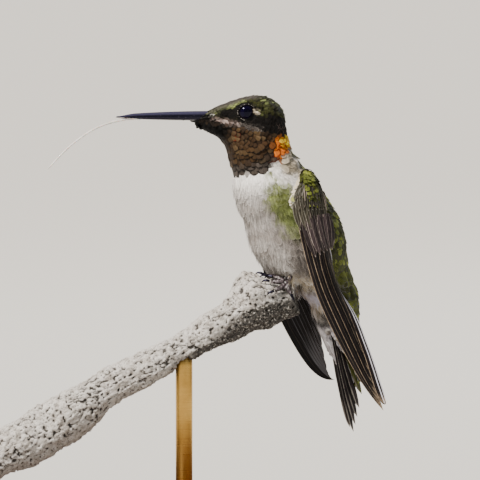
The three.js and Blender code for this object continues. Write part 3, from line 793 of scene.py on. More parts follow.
def scale_feather(name, rows=5, columns=4, lift=0.42, bend=0.26, cup=0.22, round_from=0.55):
    points, across, along = [], [], []
    for j in range(rows + 1):
        t = math.sin(j / rows * math.pi / 2)
        taper = 0.28 + 0.72 * float(smooth(t, 0, 0.5))
        end = max(0.0, (t - round_from) / (1 - round_from))
        width = 0.5 * taper * math.sqrt(max(1 - end * end, 0.02))
        for i in range(columns + 1):
            a = 2 * i / columns - 1
            points.append((a * width, t, lift * t - bend * t * t - cup * (a * width) ** 2 * 2))
            across.append(a)
            along.append(t)
    return feather_object(name, points, grid_faces(rows, columns), across, along)


def loose_feather(name, barbs=9, steps=3, lift=0.4, bend=0.2, thick=0.062):
    points, faces, across, along = [], [], [], []
    for k in range(barbs):
        a = 2 * k / (barbs - 1) - 1
        start = (0.03 * a, 0.08 + 0.42 * (1 - abs(a)))
        end = (0.56 * a, 1 - 0.3 * a * a + 0.05 * math.sin(9 * a))
        for j in range(steps + 1):
            r = j / steps
            x = start[0] + (end[0] - start[0]) * r ** 0.8
            y = start[1] + (end[1] - start[1]) * r
            z = lift * y - bend * y * y + 0.05 * math.sin(7 * a + 1) * r - 0.16 * a * a * r
            half = thick * (1.0 - 0.75 * r) / 2
            if j < steps:
                p = len(points)
                faces.append((p, p + 1, p + 3, p + 2))
            points += [(x - half, y, z), (x + half, y, z)]
            across += [a * r] * 2
            along += [y] * 2
    return feather_object(name, points, faces, across, along)


scale_model = scale_feather("scale_model")
loose_model = loose_feather("loose_model")

# %% [markdown]
# ## What a feather's surface gives the eye
# A feather is keratin, with a shaft and fine barbs.  White ones scatter light softly.  Throat and back
# feathers hold stacks of flat platelets that throw back one colour, so they shine like dark metal, and
# their colour lies in the last third while the base is dusky.  Real barbs stand 0.05 mm apart; here they
# are drawn about four times as coarse so that they can be seen.


# %% Plumage material
KERATIN_IOR = 1.54


def barb_wave(tree, across, barbs, slant):
    """Fine lines that run out from the shaft at a slant."""
    turns = times(tree, attribute(tree, "along"), barbs)
    return calc(tree, "SINE", calc(tree, "MULTIPLY_ADD", across, -slant, turns))


def plumage(name, contrast, barbs=26, slant=9, rim_from=0.5, soft=False):
    """Feathers coloured by the markings that they carry."""
    material, tree = new_material(name)
    across = calc(tree, "ABSOLUTE", attribute(tree, "across"))
    along = attribute(tree, "along")
    gloss = attribute(tree, "gloss")
    sides = times(tree, span(tree, across, rim_from, 0.95), span(tree, along, 0.2, 0.55))
    edge = most(tree, sides, span(tree, along, rim_from + 0.2, 0.97))
    colour = blend(tree, edge, attribute(tree, "vane", "Color"), attribute(tree, "rim", "Color"))
    wave = barb_wave(tree, across, barbs, slant)
    bold = span(tree, gloss, 0, 0.5, 0.25, 1)  # white feathers vary far less than coloured ones
    dark = times(tree, span(tree, wave, 0.1, 0.95, 0, contrast), bold)
    dim = span(tree, gloss, 0.1, 0.6, 0.85, 0.3)  # a white feather's hidden base is pale, another's is dark
    base = calc(tree, "ADD", dim, times(tree, span(tree, along, 0.0, 0.45), calc(tree, "SUBTRACT", 1.0, dim)))
    vary = times(tree, calc(tree, "SUBTRACT", attribute(tree, "chance"), 0.7), times(tree, bold, 0.6))
    shaft = span(tree, across, 0.02, 0.11, 0.0 if soft else 0.28, 0)
    shade = times(tree, calc(tree, "SUBTRACT", 1.0, dark), base, calc(tree, "ADD", 1.0, vary),
                  calc(tree, "SUBTRACT", 1.0, shaft))
    shades = node(tree, "ShaderNodeCombineColor", i0=shade, i1=shade, i2=shade).outputs[0]
    colour = blend(tree, 1.0, colour, shades, "MULTIPLY")
    finish_with(tree, Base_Color=colour, Roughness=span(tree, gloss, 0, 1, 0.8, 0.35), IOR=KERATIN_IOR,
                Metallic=times(tree, gloss, 0.45), Normal=relief(tree, wave, 0.35), Specular_IOR_Level=0.12)
    return material


scale_material = plumage("keratin_scale_feathers", barbs=46, slant=16, contrast=0.34, rim_from=0.7)
throat_material = plumage("iridescent_throat_scales", barbs=46, slant=16, contrast=0.4, rim_from=0.6)
loose_material = plumage("keratin_loose_feathers", barbs=10, slant=0, contrast=0.15, rim_from=0.35, soft=True)

# %% [markdown]
# ## Lay a coat over the skin
# Placing thousands of feathers by hand is hopeless, and particle hair can't be exported.  Geometry Nodes
# scatters points over one region of the skin at a set spacing, turns a feather at each so that it stands
# on the skin and points the way the coat lies, and joins the lot into one plain mesh.

# %% The node tree that lays feathers
lay_feathers = tree = bpy.data.node_groups.new("lay_feathers", "GeometryNodeTree")
tree.is_modifier = True
lay_sockets = {}
for label, kind in (("Skin", "Geometry"), ("Feather", "Object"), ("Region", "String"), ("Spacing", "Float"),
                    ("Width", "Float"), ("Ruffle", "Float"), ("Lift", "Float"), ("Seed", "Int"),
                    ("Material", "Material")):
    made = tree.interface.new_socket(label, in_out="INPUT", socket_type="NodeSocket" + kind)
    lay_sockets[label] = made.identifier
tree.interface.new_socket("Coat", in_out="OUTPUT", socket_type="NodeSocketGeometry")
given = node(tree, "NodeGroupInput").outputs


def named(name, kind="FLOAT"):
    return node(tree, "GeometryNodeInputNamedAttribute", {"data_type": kind}, i0=name).outputs[0]


def vector(operation, first, **second):
    return node(tree, "ShaderNodeVectorMath", {"operation": operation}, i0=first, **second).outputs[0]


def three(**parts):
    return node(tree, "ShaderNodeCombineXYZ", **parts).outputs[0]


def chance_between(low, high, seed_shift):
    seed = calc(tree, "ADD", given["Seed"], seed_shift)
    made = node(tree, "FunctionNodeRandomValue", {"data_type": "FLOAT"}, i2=low, i3=high, Seed=seed)
    return made.outputs[1]


def remember(geometry, name, value, kind):
    settings = {"data_type": kind, "domain": "POINT"}
    made = node(tree, "GeometryNodeStoreNamedAttribute", settings, Geometry=geometry, Name=name, Value=value)
    return made.outputs[0]


chosen = node(tree, "FunctionNodeCompare", {"data_type": "FLOAT", "operation": "GREATER_THAN"},
              i0=named(given["Region"]), i1=0.5).outputs[0]
spread = node(tree, "GeometryNodeDistributePointsOnFaces", {"distribute_method": "POISSON"},
              Mesh=given["Skin"], Selection=chosen, Distance_Min=given["Spacing"], Density_Max=2e7,
              Seed=given["Seed"]).outputs[0]
turn = node(tree, "FunctionNodeAxesToRotation", {"primary_axis": "Z", "secondary_axis": "Y"},
            i0=named("outward", "FLOAT_VECTOR"), i1=named("lie", "FLOAT_VECTOR")).outputs[0]
less = times(tree, given["Ruffle"], -1.0)
low = vector("MULTIPLY", three(X=less, Y=less, Z=less), i1=(0.5, 0.6, 1.6))  # it yaws more than it tilts
random_turn = node(tree, "FunctionNodeRandomValue", {"data_type": "FLOAT_VECTOR"}, i0=low,
                   i1=vector("SCALE", low, Scale=-1.0), Seed=given["Seed"]).outputs[0]
random_turn = vector("ADD", random_turn, i1=three(X=given["Lift"]))
random_turn = node(tree, "FunctionNodeEulerToRotation", i0=random_turn).outputs[0]
turn = node(tree, "FunctionNodeRotateRotation", {"rotation_space": "LOCAL"}, i0=turn, i1=random_turn)
turn = turn.outputs[0]
long = times(tree, named("size"), chance_between(0.82, 1.18, 5.0))
scale = three(X=times(tree, long, given["Width"]), Y=long, Z=long)
spread = remember(spread, "root", node(tree, "GeometryNodeInputPosition").outputs[0], "FLOAT_VECTOR")
spread = remember(spread, "chance", chance_between(0.0, 1.0, 9.0), "FLOAT")
model = node(tree, "GeometryNodeObjectInfo", Object=given["Feather"]).outputs["Geometry"]
laid = node(tree, "GeometryNodeInstanceOnPoints", Points=spread, Instance=model, Rotation=turn, Scale=scale)
laid = node(tree, "GeometryNodeRealizeInstances", i0=laid.outputs[0]).outputs[0]
laid = node(tree, "GeometryNodeSetMaterial", Geometry=laid, Material=given["Material"]).outputs[0]
node(tree, "NodeGroupOutput", i0=laid)
print("the tree that lays feathers has", len(tree.nodes), "nodes")

# %% [markdown]
# ## A map from the skin to a flat sheet
# The bird is unwrapped like a fruit peel: round the body one way, and along the bent line from bill to tail
# the other.  Each feather is one small patch of that sheet, at the place of its root.

# %% Unwrap the skin
PATCH = 0.003  # of the sheet's width
SPINE = np.array([(-18, 75), (-11, 75), (-6.4, 74), (-6, 70), (-4.5, 64), (-1, 57), (3, 51), (7.5, 44),
                  (10.5, 36), (13, 28), (15, 18)], float)
SPINE_RUN = np.append(0, np.cumsum(np.linalg.norm(np.diff(SPINE, axis=0), axis=1)))


def unwrap(world_mm):
    body = places(world_mm)["body"]
    best = np.full(len(body), 1e9)
    run = np.zeros(len(body))
    for k, (start, end) in enumerate(zip(SPINE[:-1], SPINE[1:])):
        share, far = along_line(body[:, 0], body[:, 2], start, end)
        run = np.where(far < best, SPINE_RUN[k] + share * (SPINE_RUN[k + 1] - SPINE_RUN[k]), run)
        best = np.minimum(far, best)
    spine_x, spine_z = (np.interp(run, SPINE_RUN, column) for column in SPINE.T)
    ahead = (spine_x - body[:, 0]) + 0.3 * (spine_z - body[:, 2])
    turn = np.arctan2(body[:, 1], ahead) / (2 * math.pi) + 0.5
    return np.stack([0.02 + 0.96 * turn, 0.02 + 0.96 * run / SPINE_RUN[-1]], 1)


# %% Write what the feathers need on a surface, and lay them
REGIONS = ("face", "crown", "throat", "breast", "belly", "back", "vent", "vent_scale", "vent_down", "corner")


def dress(surface, paint, masks, sizes, lie_field, outward):
    """Writes on a surface all that the feathers on it will need."""
    mesh = surface.data
    for name, layer in (("vane", paint.vane), ("rim", paint.rim)):
        set_floats(mesh, name, np.hstack([layer, np.ones((len(layer), 1))]), "FLOAT_COLOR")
    set_floats(mesh, "gloss", paint.gloss)
    set_floats(mesh, "size", sizes * MM)
    set_floats(mesh, "lie", lie_field, "FLOAT_VECTOR")
    set_floats(mesh, "outward", outward, "FLOAT_VECTOR")
    for region, mask in masks.items():
        set_floats(mesh, region, mask.astype(np.float32))


def lay(name, surface, region, model, spacing, width, ruffle, lift, material, seed):
    """Lays one coat on a surface and returns it as a plain mesh object."""
    base = new_object(name + "_base", surface.data.copy())
    modifier = base.modifiers.new("lay", "NODES")
    modifier.node_group = lay_feathers
    for label, value in (("Feather", model), ("Region", region), ("Spacing", spacing * MM), ("Width", width),
                         ("Ruffle", ruffle), ("Lift", lift), ("Seed", seed), ("Material", material)):
        modifier[lay_sockets[label]] = value
    mesh = evaluated(base, name)
    patch = np.stack([get_floats(mesh, "across") / 2, get_floats(mesh, "along") - 0.5], 1) * PATCH
    set_bake_map(mesh, unwrap(get_floats(mesh, "root", 3) / MM) + patch)
    if not mesh.materials:
        mesh.materials.append(material)
    for extra in ("root", "size", "lie", "outward", *REGIONS):
        if extra in mesh.attributes:
            mesh.attributes.remove(mesh.attributes[extra])
    print(name, "has", sum(len(f.vertices) - 2 for f in mesh.polygons), "triangles")
    return new_object(name, mesh)


# A feather shows mostly its outer half, so its colour is taken from there and not from its root.
visible = outer / MM + lies * (0.55 * lengths)[:, None]
tips = outer / MM + lies * lengths[:, None]
clear_eye = (near_eye > EYE_RADIUS + 0.35) & (from_eyes(tips) > EYE_RADIUS + 0.25)
x, y, z = here["head"].T
feathers_from = np.interp(z, [-0.3, -0.15, 0.75, 0.95], [-14.1, -9.8, -9.8, -12.4])
forward = moved(world_to_head, outer / MM + normals)[:, 0] - x
feathered = clear_eye & (x > feathers_from) & ((forward > -0.75) | (x > -11.4))
masks = {name: mask & feathered for name, mask in region_masks(here).items()}
height = here["height"]
masks["corner"] = masks["throat"] & (np.abs(here["neck_round"] - 118) < 14) & (np.abs(height - 69.9) < 1.7)
masks["vent_scale"] = masks["vent"] & (height < 43.5) & (height > 40)
masks["vent_down"] = masks["vent"] & (height > 38)
lengths = lengths * (1 - 0.22 * masks["corner"])
dress(skin, markings(visible), masks, lengths, lies, normals)

# %% Lay the coats
# Name, region, feather, spacing in mm, width as a share of length, ruffle and lift in radians, material.
coat_plan = [
    ("coat_face", "face", scale_model, 0.24, 0.80, 0.16, 0.0, scale_material),
    ("coat_crown", "crown", scale_model, 0.42, 0.85, 0.12, 0.0, scale_material),
    ("coat_throat", "throat", scale_model, 0.66, 0.92, 0.08, 0.0, throat_material),
    ("coat_throat_corner", "corner", scale_model, 0.5, 0.8, 0.15, 0.42, scale_material),
    ("coat_breast", "breast", scale_model, 0.55, 0.66, 0.12, -0.08, scale_material),
    ("coat_breast_down", "breast", loose_model, 0.36, 0.8, 0.2, -0.05, loose_material),
    ("coat_belly", "belly", scale_model, 0.6, 0.62, 0.14, -0.08, scale_material),
    ("coat_belly_down", "belly", loose_model, 0.4, 0.7, 0.28, -0.04, loose_material),
    ("coat_back", "back", scale_model, 0.6, 0.85, 0.12, 0.0, scale_material),
    ("coat_vent", "vent_scale", scale_model, 0.6, 0.5, 0.15, -0.1, scale_material),
    ("coat_vent_down", "vent_down", loose_model, 0.45, 0.6, 0.3, -0.06, loose_material),
]
coats = []
for order, (name, region, *rest) in enumerate(coat_plan):
    coats.append(lay(name, skin, region, *rest, SEED + 20 * order))
skin.data.materials.append(plumage("down_and_skin", contrast=0.2))

# %% [markdown]
# ## The wings
# A folded wing is a stack of stiff vanes.  Ten primaries run to the tip, short secondaries lie over their
# roots, and rows of coverts overlap like roof tiles up to the shoulder.  Each vane is bent over the same
# curved surface, which hangs from the wing's leading edge and keeps clear of the body.

# %% The surface that both wings follow
WING_CAMBER = 1.5
WING_CLEARANCE = 0.42
WING_ROWS, WING_COLUMNS = 90, 24
OVERHANG = 0.05  # the surface reaches this share past both edges
RIGHT_TIP_LIFT = 4.3  # the tip of the right wing is held higher by this much
FAR_SIDE = -3  # a point deeper inside the body than this is on its other side
leading_edge = curve_through([(-1.1, -5.0, 65.4), (-3.3, -7.9, 59.6), (-1.8, -9.2, 52), (0.5, -9.6, 45.2),
                              (3.6, -9.9, 38.6), (8.9, -9.9, 29.6), (13.7, -9.6, 22.5)])
trailing_edge = curve_through([(0.6, -4.8, 65.4), (2.7, -5.9, 59.6), (3.5, -6.8, 52), (5.2, -6.2, 45.2),
                               (8.9, -6, 38.6), (12, -7.6, 29.6), (13.8, -9.3, 22.6)])


def push_clear(body_points, clearance):
    """Moves points that are nearer to the body than the clearance straight out of it."""
    turned = np.array(body_to_world.to_3x3())
    for i, point in enumerate(moved(body_to_world, body_points) * MM):
        spot, normal, _, far = outer_tree.find_nearest(Vector(point))
        gap = math.copysign(far, (Vector(point) - spot).dot(normal)) / MM
        if FAR_SIDE < gap < clearance:
            body_points[i] += (clearance - gap) * (np.array(normal) @ turned)
    return body_points


def wing_skin(across, along):
    front = leading_edge(along)
    chord = trailing_edge(along) - front
    tangent = leading_edge(np.minimum(along + 0.01, 1)) - leading_edge(np.maximum(along - 0.01, 0))
    camber = WING_CAMBER * 4 * across * (1 - across) * (1 - along ** 3)
    return front + chord * across[:, None] + unit(np.cross(tangent, chord)) * camber[:, None]


def grid_of(first, second):
    """Two coordinates at every point of a grid, as two flat rows."""
    one, two = np.meshgrid(first, second, indexing="ij")
    return one.ravel(), two.ravel()


along, across = grid_of(np.linspace(0, 1, WING_ROWS), np.linspace(-OVERHANG, 1 + OVERHANG, WING_COLUMNS))
wing_grid = push_clear(wing_skin(across, along), WING_CLEARANCE).reshape(WING_ROWS, WING_COLUMNS, 3)
for _ in range(6):
    wing_grid[1:-1, 1:-1] = (wing_grid[1:-1, 1:-1] * 2 + wing_grid[2:, 1:-1] + wing_grid[:-2, 1:-1]
                             + wing_grid[1:-1, 2:] + wing_grid[1:-1, :-2]) / 6
steps_along, steps_across = (np.gradient(wing_grid, axis=axis).reshape(-1, 3) for axis in (0, 1))
wing_outward = unit(np.cross(steps_along, steps_across)).reshape(wing_grid.shape)
wing_chord = unit(steps_across).reshape(wing_grid.shape)
last_sound = int(0.72 * WING_ROWS)  # past here the two edges run together, so the directions are kept
for table in (wing_outward, wing_chord):
    table[last_sound:] = table[last_sound]
chord_length = np.linalg.norm(wing_grid[:, -1] - wing_grid[:, 0], axis=1)


def on_wing(side, across, along, rise, sideways=0.0):
    """World points, in metres, on the wing of one side, raised over it and moved across it by millimetres."""
    across, along, rise = (np.asarray(v, float).ravel() for v in (across, along, rise))
    row = np.clip(along, 0, 1) * (WING_ROWS - 1)
    column = np.clip((across + OVERHANG) / (1 + 2 * OVERHANG), 0, 1) * (WING_COLUMNS - 1)
    i = np.minimum(row.astype(int), WING_ROWS - 2)
    j = np.minimum(column.astype(int), WING_COLUMNS - 2)
    a, b = (row - i)[:, None], (column - j)[:, None]

    def read(table):
        return ((1 - a) * (1 - b) * table[i, j] + a * (1 - b) * table[i + 1, j]
                + (1 - a) * b * table[i, j + 1] + a * b * table[i + 1, j + 1])
    point = read(wing_grid) + read(wing_outward) * rise[:, None]
    point += read(wing_chord) * np.reshape(sideways, (-1, 1))
    point[:, 1] *= -side
    if side > 0:
        point[:, 2] += RIGHT_TIP_LIFT * np.clip(along, 0, 1) ** 11
    return moved(body_to_world, point) * MM


print("wing of", round(float(np.linalg.norm(wing_grid[0, 2] - wing_grid[-1, 2])), 1), "mm")

# %% [markdown]
# ## One stiff vane
# A flight feather has a tapering shaft and two webs of barbs that run out from it at a slant.  Each is a
# fine grid of points, with the shaft standing up as a ridge, and carries its own coordinates across and
# along, from which the material draws the barbs and the pale edge.  A wing's vanes have a second sheet just
# under the first, painted near-black as shade, for the far wing shows this side and lies in shadow.


# %% Make vanes
class Plumes:
    """Collects feathers into one mesh."""

    def __init__(self, name):
        self.name = name
        self.count = 0
        self.faces = []
        self.rows = {"points": [], "across": [], "along": [], "chance": [], "under": [], "uv": []}

    def add(self, points, rows, columns, across, along, chance, patch, flip=False, under=0.0):
        """Adds a grid of points; its patch of the bake map is a left, a low side, a width and a height."""
        faces = grid_faces(rows, columns, self.count)
        self.faces += [face[::-1] for face in faces] if flip else faces
        left, low, wide, high = patch
        uv = np.stack([left + wide * (across / 2 + 0.5), low + high * along], 1)
        plain = np.ones(len(points))
        given = points, across, along, chance * plain, under * plain, uv
        for row, values in zip(self.rows.values(), given):
            row.append(values)
        self.count += len(points)

    def made(self, material):
        joined = {key: np.concatenate(row) for key, row in self.rows.items()}
        mesh = mesh_from(self.name, joined["points"], self.faces)
        for key in ("across", "along", "chance", "under"):
            set_floats(mesh, key, joined[key])
        set_bake_map(mesh, joined["uv"])
        print(self.name, "has", 2 * len(self.faces), "triangles")
        return new_object(self.name, mesh, material)


def vane_outline(t, round_from, tip, base=0.45, swell=0.25):
    """Half the width of a feather along its length, as a share of the widest."""
    grow = base + (1 - base) * smooth(t, 0, swell)
    end = np.clip((t - round_from) / (1 - round_from), 0, 1)
    return grow * np.sqrt(np.clip(1 - (1 - tip * tip) * end * end, 0.0004, 1))


def wing_vane(plumes, side, start, end, edge, width, rise, chance, patch, rows=44, columns=10, bow=0.1,
              tip=0.1, round_from=0.8, tip_rise=0.0, curl=0.0):
    """A feather from one place along the wing to another.

    Its leading edge is a share of the way across the wing and its width is in millimetres; both are functions
    of the place along.  Curl lifts its trailing side.
    """
    t, a = grid_of(1 - (1 - np.linspace(0, 1, rows + 1)) ** 1.15, np.linspace(-1, 1, columns + 1))
    along = start + (end - start) * t - 0.012 * a * a * smooth(t, 0.5, 1)
    half = width(along) / 2
    chord = np.interp(np.clip(along, 0, 1), np.linspace(0, 1, WING_ROWS), chord_length)
    across = edge(along) + half * np.clip(1 - along, 0.15, 1) / chord
    ridge = 0.05 * np.exp(-(a / 0.12) ** 2) * (1 - 0.8 * t)
    bend = tip_rise * t * t + curl * (a + 1) * smooth(t, 0.3, 0.6)
    lifted = rise + ridge + bow * (0.4 - a * a) + bend
    sideways = a * half * vane_outline(t, round_from=round_from, tip=tip)
    left, low, wide, high = patch
    for under, thick in ((0.0, 0.0), (1.0, 0.03)):
        sheet = (left + 0.52 * wide * under, low, 0.46 * wide, high)
        plumes.add(on_wing(side, across, along, lifted - thick, sideways), rows, columns, a, t, chance, sheet,
                   flip=(side < 0) != (under > 0), under=under)


# %% Lay out both wings
def atlas(index, columns=8):
    """A cell of a square map of feathers: left, low side, width and height."""
    return (0.01 + 0.98 * (index % columns) / columns, 0.01 + 0.98 * (index // columns) / columns,
            0.9 / columns, 0.9 / columns)


def line_between(*pairs):
    xs, ys = zip(*pairs)
    return lambda v: np.interp(v, xs, ys)


FLIGHT_ENDS = [1.0, 0.985, 0.965, 0.94, 0.9, 0.85, 0.8, 0.75, 0.7, 0.66]
FLIGHT_CHANCES = [0.93, 0.3, 0.8, 0.15, 0.9, 0.2, 0.65, 0.25, 0.55, 0.93]
# Each row's start and end along the wing, its number of feathers and its rise over the skin.
COVERT_ROWS = ((0.15, 0.262, 8, 0.77), (0.115, 0.2, 9, 1.02), (0.075, 0.155, 9, 1.22))


def flight_feathers(name, side):
    plumes = Plumes(name)
    for order in range(10):
        far = order < 4  # these four make the tip
        shape = {"round_from": 0.84 if far else 0.88}
        end, chance = FLIGHT_ENDS[order], FLIGHT_CHANCES[order]
        edge = line_between((0, 0.07 * order), (0.55, -0.03 + 0.088 * order + 0.012 * math.sin(4.1 * order)),
                            (0.8, -0.03 + 0.1 * order), (1, 0.1 * order))
        wide = line_between((0.1, 1.7), (0.5, 2.3), (0.8, 2.1), (1, 1.5))
        if order == 9 and side < 0:  # the left wing's rearmost has slipped down and lines the wing to its tip
            end, chance = 0.98, 1.0
            edge = line_between((0, 0.63), (0.5, 0.68), (0.65, 0.66), (0.8, 0.58), (1, 0.3))
            wide = line_between((0.1, 1.7), (0.5, 1.8), (0.7, 1.3), (1, 1.1))
            shape.update(tip_rise=-0.3, curl=0.45)
        wing_vane(plumes, side, 0.165 if far else 0.3, end, edge, wide, 0.06 + 0.07 * order, chance,
                  atlas(order), **shape)
    return plumes


def secondary_feathers(name, side):
    plumes = Plumes(name)
    for order in range(7):
        spot = 0.06 + 0.125 * order
        wing_vane(plumes, side, 0.22, 0.378 - 0.006 * order, line_between((0.2, spot), (0.4, spot + 0.03)),
                  line_between((0.2, 1.5), (0.4, 1.7)), 0.74 + 0.05 * order, 0.15 + 0.7 * (order % 2),
                  atlas(order + 20), rows=20, columns=8, round_from=0.6, tip=0.2, bow=0.12)
    return plumes


def covert_feathers(name, side):
    plumes = Plumes(name)
    index = 0
    for row, (start, end, number, rise) in enumerate(COVERT_ROWS):
        for order in range(number):
            spot = -0.04 + 0.9 * (order + 0.5 * (row % 2)) / number
            luck = float(rng.random())
            wing_vane(plumes, side, start + 0.006 * luck, end + 0.01 * luck,
                      line_between((0, spot), (1, spot + 0.02)), line_between((0, 1.1), (1, 1.1)),
                      rise + 0.02 * (order % 3), luck, atlas(index), rows=14, columns=6, round_from=0.45,
                      tip=0.25, bow=0.08)
            index += 1
    return plumes


ARM_START = 0.004  # along the wing
ARM_LENGTH = 0.2
ARM_SEED = 300


def arm_across(turn, narrowed=1.0):
    """Round the arm, whose middle is the middle of the wing."""
    return 0.5 - 0.54 * np.cos(turn) * narrowed


def shoulder_pad(name, side, rows=40, columns=36):
    """The rounded flesh and down of the arm, on which the smallest coverts lie."""
    t, turn = grid_of(np.linspace(0, 1, rows + 1), np.linspace(0, 2 * math.pi, columns + 1))
    closing = np.sqrt(np.clip(1 - (2 * t - 1) ** 4, 0.0, 1))
    thick = (0.35 + 0.95 * np.sqrt(1 - t)) * closing * (0.35 + 0.65 * smooth(t, 0, 0.35))
    over = np.abs(np.sin(turn))
    rise = 0.1 + np.where(np.sin(turn) > 0, thick * over ** 0.8, -0.12 * over)
    across = arm_across(turn, np.maximum(closing, 0.02))
    points = on_wing(side, across, ARM_START + ARM_LENGTH * t, rise)
    plumes = Plumes(name)
    plumes.add(points, rows, columns, turn / math.pi - 1, t, 0.5, (0.02, 0.02, 0.96, 0.96), flip=side < 0)
    return plumes


# %% [markdown]
# ## What a flight feather gives the eye
# Primaries are dusky with a purple-brown cast, and satiny, since the barbs are hooked into one smooth web.
# Their thin edges wear to buff.  Light slides along the barbs, so the gloss is broken by fine slanted lines.


# %% Material of the stiff vanes
# Painted shade: the under sheet is near-black because the far wing that shows it lies in shadow.
VANE_UNDERSIDE_SHADE = "#08070a"


def vane_material(name, dark, light, edge, barbs=60, slant=14, edge_from=0.86, lead_edge=0.8, gloss=0.45,
                  tip_light=0.5, back_edge="#8d8078", streaking=(3.0, 7.0), shaft_light=0.35, root_dark=0.0):
    material, tree = new_material(name)
    signed = attribute(tree, "across")
    across = calc(tree, "ABSOLUTE", signed)
    along = attribute(tree, "along")
    chance = attribute(tree, "chance")
    wave = barb_wave(tree, across, barbs, slant)
    # The web: streaks from dark to light, fine lines of barbs, and the shaft.
    streaks = node(tree, "ShaderNodeCombineXYZ", X=times(tree, signed, streaking[0]),
                   Y=times(tree, along, streaking[1]), Z=times(tree, chance, 40.0)).outputs[0]
    patchy = node(tree, "ShaderNodeTexNoise", Vector=streaks, Scale=1.6, Detail=4.0, Roughness=0.6).outputs[0]
    tone = calc(tree, "MULTIPLY_ADD", patchy, 0.7, times(tree, chance, 0.45))
    colour = ramp(tree, tone, (0.25, dark), (0.75, light))
    colour = blend(tree, span(tree, wave, 0.3, 1, 0, 0.3), colour, dark)
    colour = blend(tree, span(tree, across, 0.03, 0.1, shaft_light, 0), colour, edge)
    # Leading edge and tip: wear on the wings, a painted highlight on the tail; some feathers more than
    # others.
    lead = span(tree, signed, -lead_edge, -1 + (1 - lead_edge) * 0.3)
    lead = times(tree, lead, span(tree, chance, 0.1, 0.9, 0.12, 1.0))
    rims = most(tree, lead, times(tree, span(tree, along, 0.93, 1.0), tip_light))
    rims = times(tree, rims, span(tree, clouds(tree, 2600.0, 2.0), 0.3, 0.55, 0.45, 1.0))
    colour = blend(tree, rims, colour, edge)
    # The trailing edge, wide near the tip; the rearmost vane's shaft and edge carry a painted highlight.
    trail = times(tree, span(tree, signed, edge_from, 0.97), span(tree, chance, 0.1, 0.9, 0.3, 0.9))
    last = span(tree, chance, 0.94, 0.98)
    # Painted highlight: light along the rearmost shaft and edge, starting partway down the feather.
    lit_shaft_and_edge = times(tree, span(tree, across, 0.08, 0.2, 1.0, 0.0), last, span(tree, along, 0.3, 0.5))
    last = most(tree, last, times(tree, span(tree, along, 0.7, 0.82), tip_light))
    trail = most(tree, most(tree, trail, lit_shaft_and_edge), times(tree, span(tree, signed, 0.55, 0.7), last))
    colour = blend(tree, trail, colour, back_edge)
    colour = blend(tree, span(tree, along, 0.0, 0.4, root_dark, 0.0), colour, DUSKY)
    # The under sheet takes the painted shade of the far wing's underside.
    colour = blend(tree, times(tree, attribute(tree, "under"), 0.88), colour, VANE_UNDERSIDE_SHADE)
    finish_with(tree, Base_Color=colour, Roughness=gloss, Normal=relief(tree, wave, 0.3), IOR=KERATIN_IOR,
                Specular_IOR_Level=0.15)
    return material


primary_material = vane_material("dusky_keratin_vanes", "#040304", "#171113", "#a8957f", lead_edge=0.87,
                                 edge_from=0.84, tip_light=0.95, back_edge="#d9d8e2")
secondary_material = vane_material("brown_keratin_vanes", "#0d090b", "#3d3335", "#a3968f", barbs=30, slant=8,
                                   tip_light=0.9)
covert_material = vane_material("covert_vanes", "#0b0908", "#3b382e", "#8f8b80", barbs=16, slant=6,
                                edge_from=0.7, tip_light=0.9)
down_material = vane_material("wing_arm_down", "#15130f", "#2b2a1c", "#4b4a2c", lead_edge=1.0)

# %% Build both wings
WING_PARTS = (("primaries", "primary_vanes", flight_feathers, primary_material),
              ("secondaries", "secondary_vanes", secondary_feathers, secondary_material),
              ("coverts", "covert_vanes", covert_feathers, covert_material),
              ("shoulder", "arm", shoulder_pad, down_material))
wing_pieces = {}
for side, label in SIDES:
    for part, ending, build, material in WING_PARTS:
        wing_pieces[part, label] = build("wing_%s_%s" % (label, ending), side).made(material)

# %% Lay the lesser coverts on the arms
for side, label in SIDES:
    arm = wing_pieces["shoulder", label]
    arm_points, arm_normals = arrays(arm.data)
    t = get_floats(arm.data, "along").astype(float)
    turn = (get_floats(arm.data, "across").astype(float) + 1) * math.pi
    ahead, behind = (on_wing(side, arm_across(turn), ARM_START + ARM_LENGTH * (t + step), 0 * t + 0.8)
                     for step in (0.05, -0.05))
    facing_front, facing_back = np.cos(turn), -np.cos(turn)
    lead = smooth(facing_front, 0.88, 0.97)
    wander = mottle(arm_points / MM, 1.4, 5)
    paint = Paint(len(t))
    paint.dab(1 + 0 * t, OLIVE, INK)
    paint.dab(smooth(wander, -0.5, 0.2), MOSS)
    paint.dab(smooth(wander, 0.15, 0.6), LIME)
    paint.dab(smooth(facing_back, -0.2, 0.4), (DUSKY, 0.9))
    paint.dab(smooth(-t, -0.12, 0) * smooth(mottle(arm_points / MM, 0.8, 15), -0.5, 0.1), (INK, 0.8))
    paint.dab(lead, CREAM, SNOW)
    paint.dab(smooth(facing_back, 0.8, 0.95), rim=(CREAM, 0.8))
    paint.gloss = 0.5 * (1 - lead)
    dress(arm, paint, {"face": (np.sin(turn) > -0.3) & (t < 0.9)}, 1.15 + 0.35 * t,
          along_surface(ahead - behind, arm_normals), arm_normals)
    coats.append(lay("wing_%s_lesser_coverts" % label, arm, "face", scale_model, 0.42, 0.85, 0.14, 0.0,
                     scale_material, ARM_SEED + side))

# %% [markdown]
# ## The tail
# Ten rectrices, five on a side, lie closed like a hand of cards.  A male's are pointed and blackish, with
# a green middle pair.

